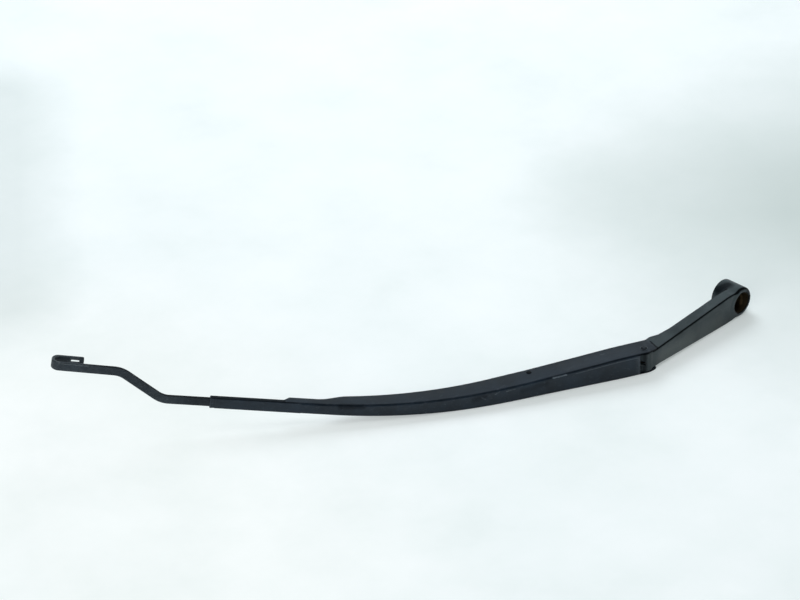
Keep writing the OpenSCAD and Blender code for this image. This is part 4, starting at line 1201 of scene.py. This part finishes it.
# %% Directions of the picture
CAMERA_TILT, CAMERA_FAR = math.radians(32.0), 4000.0
SHEET_TURN, HEAD_DROP, ROLL = math.radians(43.75), math.radians(25.5), math.radians(-1.51)
ROLL_AXIS = math.pi / 2 - SHEET_TURN - HEAD_DROP
PICTURE_ORIGIN = np.array([338.71, -29.55, 15.30])


def turn_matrix(axis, angle):
    """Rotation about an axis by an angle: cos * I + sin * cross + (1 - cos) * axis axis."""
    x, y, z = np.asarray(axis, float) / np.linalg.norm(axis)
    cross = np.array([[0, -z, y], [z, 0, -x], [-y, x, 0]])
    a = np.array([[x, y, z]])
    return math.cos(angle) * np.eye(3) + math.sin(angle) * cross + (1 - math.cos(angle)) * a.T @ a


lay = np.array([[-math.sin(SHEET_TURN), 0, math.cos(SHEET_TURN)], [-math.cos(SHEET_TURN), 0, -math.sin(SHEET_TURN)],
                [0, -1, 0]])
to_picture = turn_matrix([math.sin(ROLL_AXIS), -math.cos(ROLL_AXIS), 0], -ROLL) @ lay


def from_picture(p):
    """Millimetres in the picture's directions (x right, y away, z up from the board) to the CAD frame, in metres."""
    return (np.array([0, 0, DRUM_H]) + (np.asarray(p, float) - PICTURE_ORIGIN) @ to_picture) * MM


def place_in_picture(obj, at, toward, up=(0, 0, 1)):
    """Puts a camera or lamp at a point of the picture's space, looking toward another."""
    back = unit(np.asarray(at, float) - np.asarray(toward, float))
    right = unit(np.cross(up, back))
    turn = np.stack([right, np.cross(back, right), back]) @ to_picture
    obj.matrix_world = Matrix.Translation(from_picture(at)) @ Matrix(turn.T).to_4x4()


camera_data = bpy.data.cameras.new("camera")
camera_data.lens, camera_data.sensor_width, camera_data.clip_end = 180.0, 36.0, 30.0
camera = bpy.data.objects.new("camera", camera_data)
bpy.context.scene.collection.objects.link(camera)
place_in_picture(camera, (0, -CAMERA_FAR * math.cos(CAMERA_TILT), CAMERA_FAR * math.sin(CAMERA_TILT)), (0, 0, 0))
bpy.context.scene.camera = camera
print("camera at, m:", [round(v, 3) for v in camera.location])

# %% [markdown]
# ### The board
# The board is a plane, lifted toward white for the camera only. For every other ray it is matt and lit, so it
# keeps the arm's shadow and shows in the paint as a lit board does. From behind it is clear, so the arm can be
# seen from below too. A few soft painted shades lie on it: behind the head at the right, behind the hinge and at
# the far left. Its lower left glows brighter to the camera, a painted pool of light.

# %% Board
bpy.context.scene.view_settings.view_transform = "Standard"


def stage_plane(name, corner, side_a, side_b):
    """One large quad in the picture's space, from a corner and two sides, in metres in the CAD frame."""
    corner, side_a, side_b = (np.asarray(v, float) for v in (corner, side_a, side_b))
    points = from_picture(np.stack([corner, corner + side_a, corner + side_a + side_b, corner + side_b]))
    mesh = bpy.data.meshes.new(name)
    mesh.from_pydata(points.tolist(), [], [[0, 1, 2, 3]])
    obj = bpy.data.objects.new(name, mesh)
    bpy.context.scene.collection.objects.link(obj)
    return obj


board = stage_plane("board", (-2500, -2500, 0), (5000, 0, 0), (0, 5000, 0))
board_paint, t, end = new_material("matt_white_board")
# it gives the eye a white ground with faint grey marks, as on a used table top
at = add(t, "TexCoord").outputs["Object"]
marks = add(t, "TexNoise", Vector=at, Scale=per(140), Detail=5.0, Roughness=0.6).outputs[0]
marks = add(t, "MapRange", Value=marks, in1=0.35, in2=0.75).outputs[0]
tint = add(t, "Mix", data_type="RGBA", in0=marks, in6=linear("#f9ffff"), in7=linear("#eff7f6")).outputs[2]


def board_line(a, b, half_mm, strength):
    """A soft line on the board, from a to b in millimetres of the picture's right and away."""
    return *(tuple(from_picture((*place, 0)) / MM) for place in (a, b)), half_mm, strength


# painted shade on the board: broad darker regions where less light falls
behind_head = board_line((520, 170), (760, 170), 400, 0.56)
behind_hinge = board_line((230, 217), (520, 217), 150, 0.14)
far_left = board_line((-445, 410), (-410, 0), 100, 0.28)
shades = near_lines(t, at, [behind_head, behind_hinge, far_left])
tint = add(t, "Mix", data_type="RGBA", in0=shades, in6=tint, in7=linear("#b9c6c2")).outputs[2]
# a painted pool of light: the board glows brighter to the camera at its lower left
lit_part = near_lines(t, at, [board_line((-323, -233), (-217, -444), 330, 0.55)])
matt = add(t, "BsdfDiffuse", Color=tint)
glow = add(t, "Emission", Color=tint, Strength=1.0)
ray = add(t, "LightPath")
# the lift is for the camera alone: other rays meet the matt board as it is lit
lift = add(t, "Math", operation="ADD", in0=lit_part, in1=0.3).outputs[0]
lift = add(t, "Math", operation="MULTIPLY", in0=ray.outputs["Is Camera Ray"], in1=lift).outputs[0]
front = add(t, "MixShader", in0=lift, in1=matt.outputs[0], in2=glow.outputs[0])
clear = add(t, "BsdfTransparent")
back = add(t, "NewGeometry").outputs["Backfacing"]
both = add(t, "MixShader", in0=back, in1=front.outputs[0], in2=clear.outputs[0])
finish_material(board_paint, end, both, board)

# %% [markdown]
# ### The room
# Behind the arm stands a bright wall under a paler ceiling, and the room at the sides and behind the camera is
# dark. That is what the paint reflects. The camera itself sees an even white where the board ends.

# %% World
world = bpy.data.worlds.new("studio")
bpy.context.scene.world = world
world.use_nodes = True
w = world.node_tree
w.nodes.clear()
toward = add(w, "TexCoord").outputs["Generated"]
away_axis, up_axis = tuple(np.array([0, 1, 0]) @ to_picture), tuple(np.array([0, 0, 1]) @ to_picture)
away = add(w, "VectorMath", operation="DOT_PRODUCT", in0=toward, in1=away_axis).outputs["Value"]
above = add(w, "VectorMath", operation="DOT_PRODUCT", in0=toward, in1=up_axis).outputs["Value"]
wall = add(w, "MapRange", Value=away, in1=0.15, in2=0.8, in3=0.04, in4=0.85).outputs[0]
ceiling = add(w, "MapRange", Value=above, in1=0.35, in2=1.0, in3=0.0, in4=0.08).outputs[0]
level = add(w, "Math", operation="ADD", in0=wall, in1=ceiling).outputs[0]
ray = add(w, "LightPath").outputs
seen = add(w, "Math", operation="MAXIMUM", in0=ray["Is Camera Ray"], in1=ray["Is Transmission Ray"]).outputs[0]
around = add(w, "Background", Color=linear("#dce8ee"), Strength=level)
behind = add(w, "Background", Color=linear("#f4f8f7"), Strength=1.0)
sky = add(w, "MixShader", in0=seen, in1=around.outputs[0], in2=behind.outputs[0])
w.links.new(sky.outputs[0], w.nodes.new("ShaderNodeOutputWorld").inputs["Surface"])
print("world nodes:", len(w.nodes))

# %% [markdown]
# ### The lamps
# Four large lamps give the soft shadows. The reflections come from the walls, so glossy rays pass the lamps by.
# The board casts no shadow, so that the fill from below reaches the underside of the arm through it.

# %% Lamps
def lamp(name, at, toward, size, watts, tint="#ffffff"):
    """A square area lamp at a point of the picture's space."""
    data = bpy.data.lights.new(name, "AREA")
    data.shape, data.size, data.energy, data.color = "SQUARE", size * MM, watts, linear(tint)[:3]
    obj = bpy.data.objects.new(name, data)
    bpy.context.scene.collection.objects.link(obj)
    place_in_picture(obj, at, toward)
    return obj


lamps = [lamp("window_behind", (-300, 1500, 1700), (0, 0, 0), 1300, 31, "#f4f9ff"),
         lamp("ceiling", (500, -200, 2400), (0, 0, 0), 1500, 19),
         lamp("front_fill", (-600, -2200, 900), (0, 0, 0), 1400, 24),
         lamp("under_fill", (300, 700, -2000), (0, 0, 0), 1500, 26)]
for each in lamps:
    each.visible_glossy = False
board.visible_shadow = False
print("lamps:", [each.name for each in lamps])
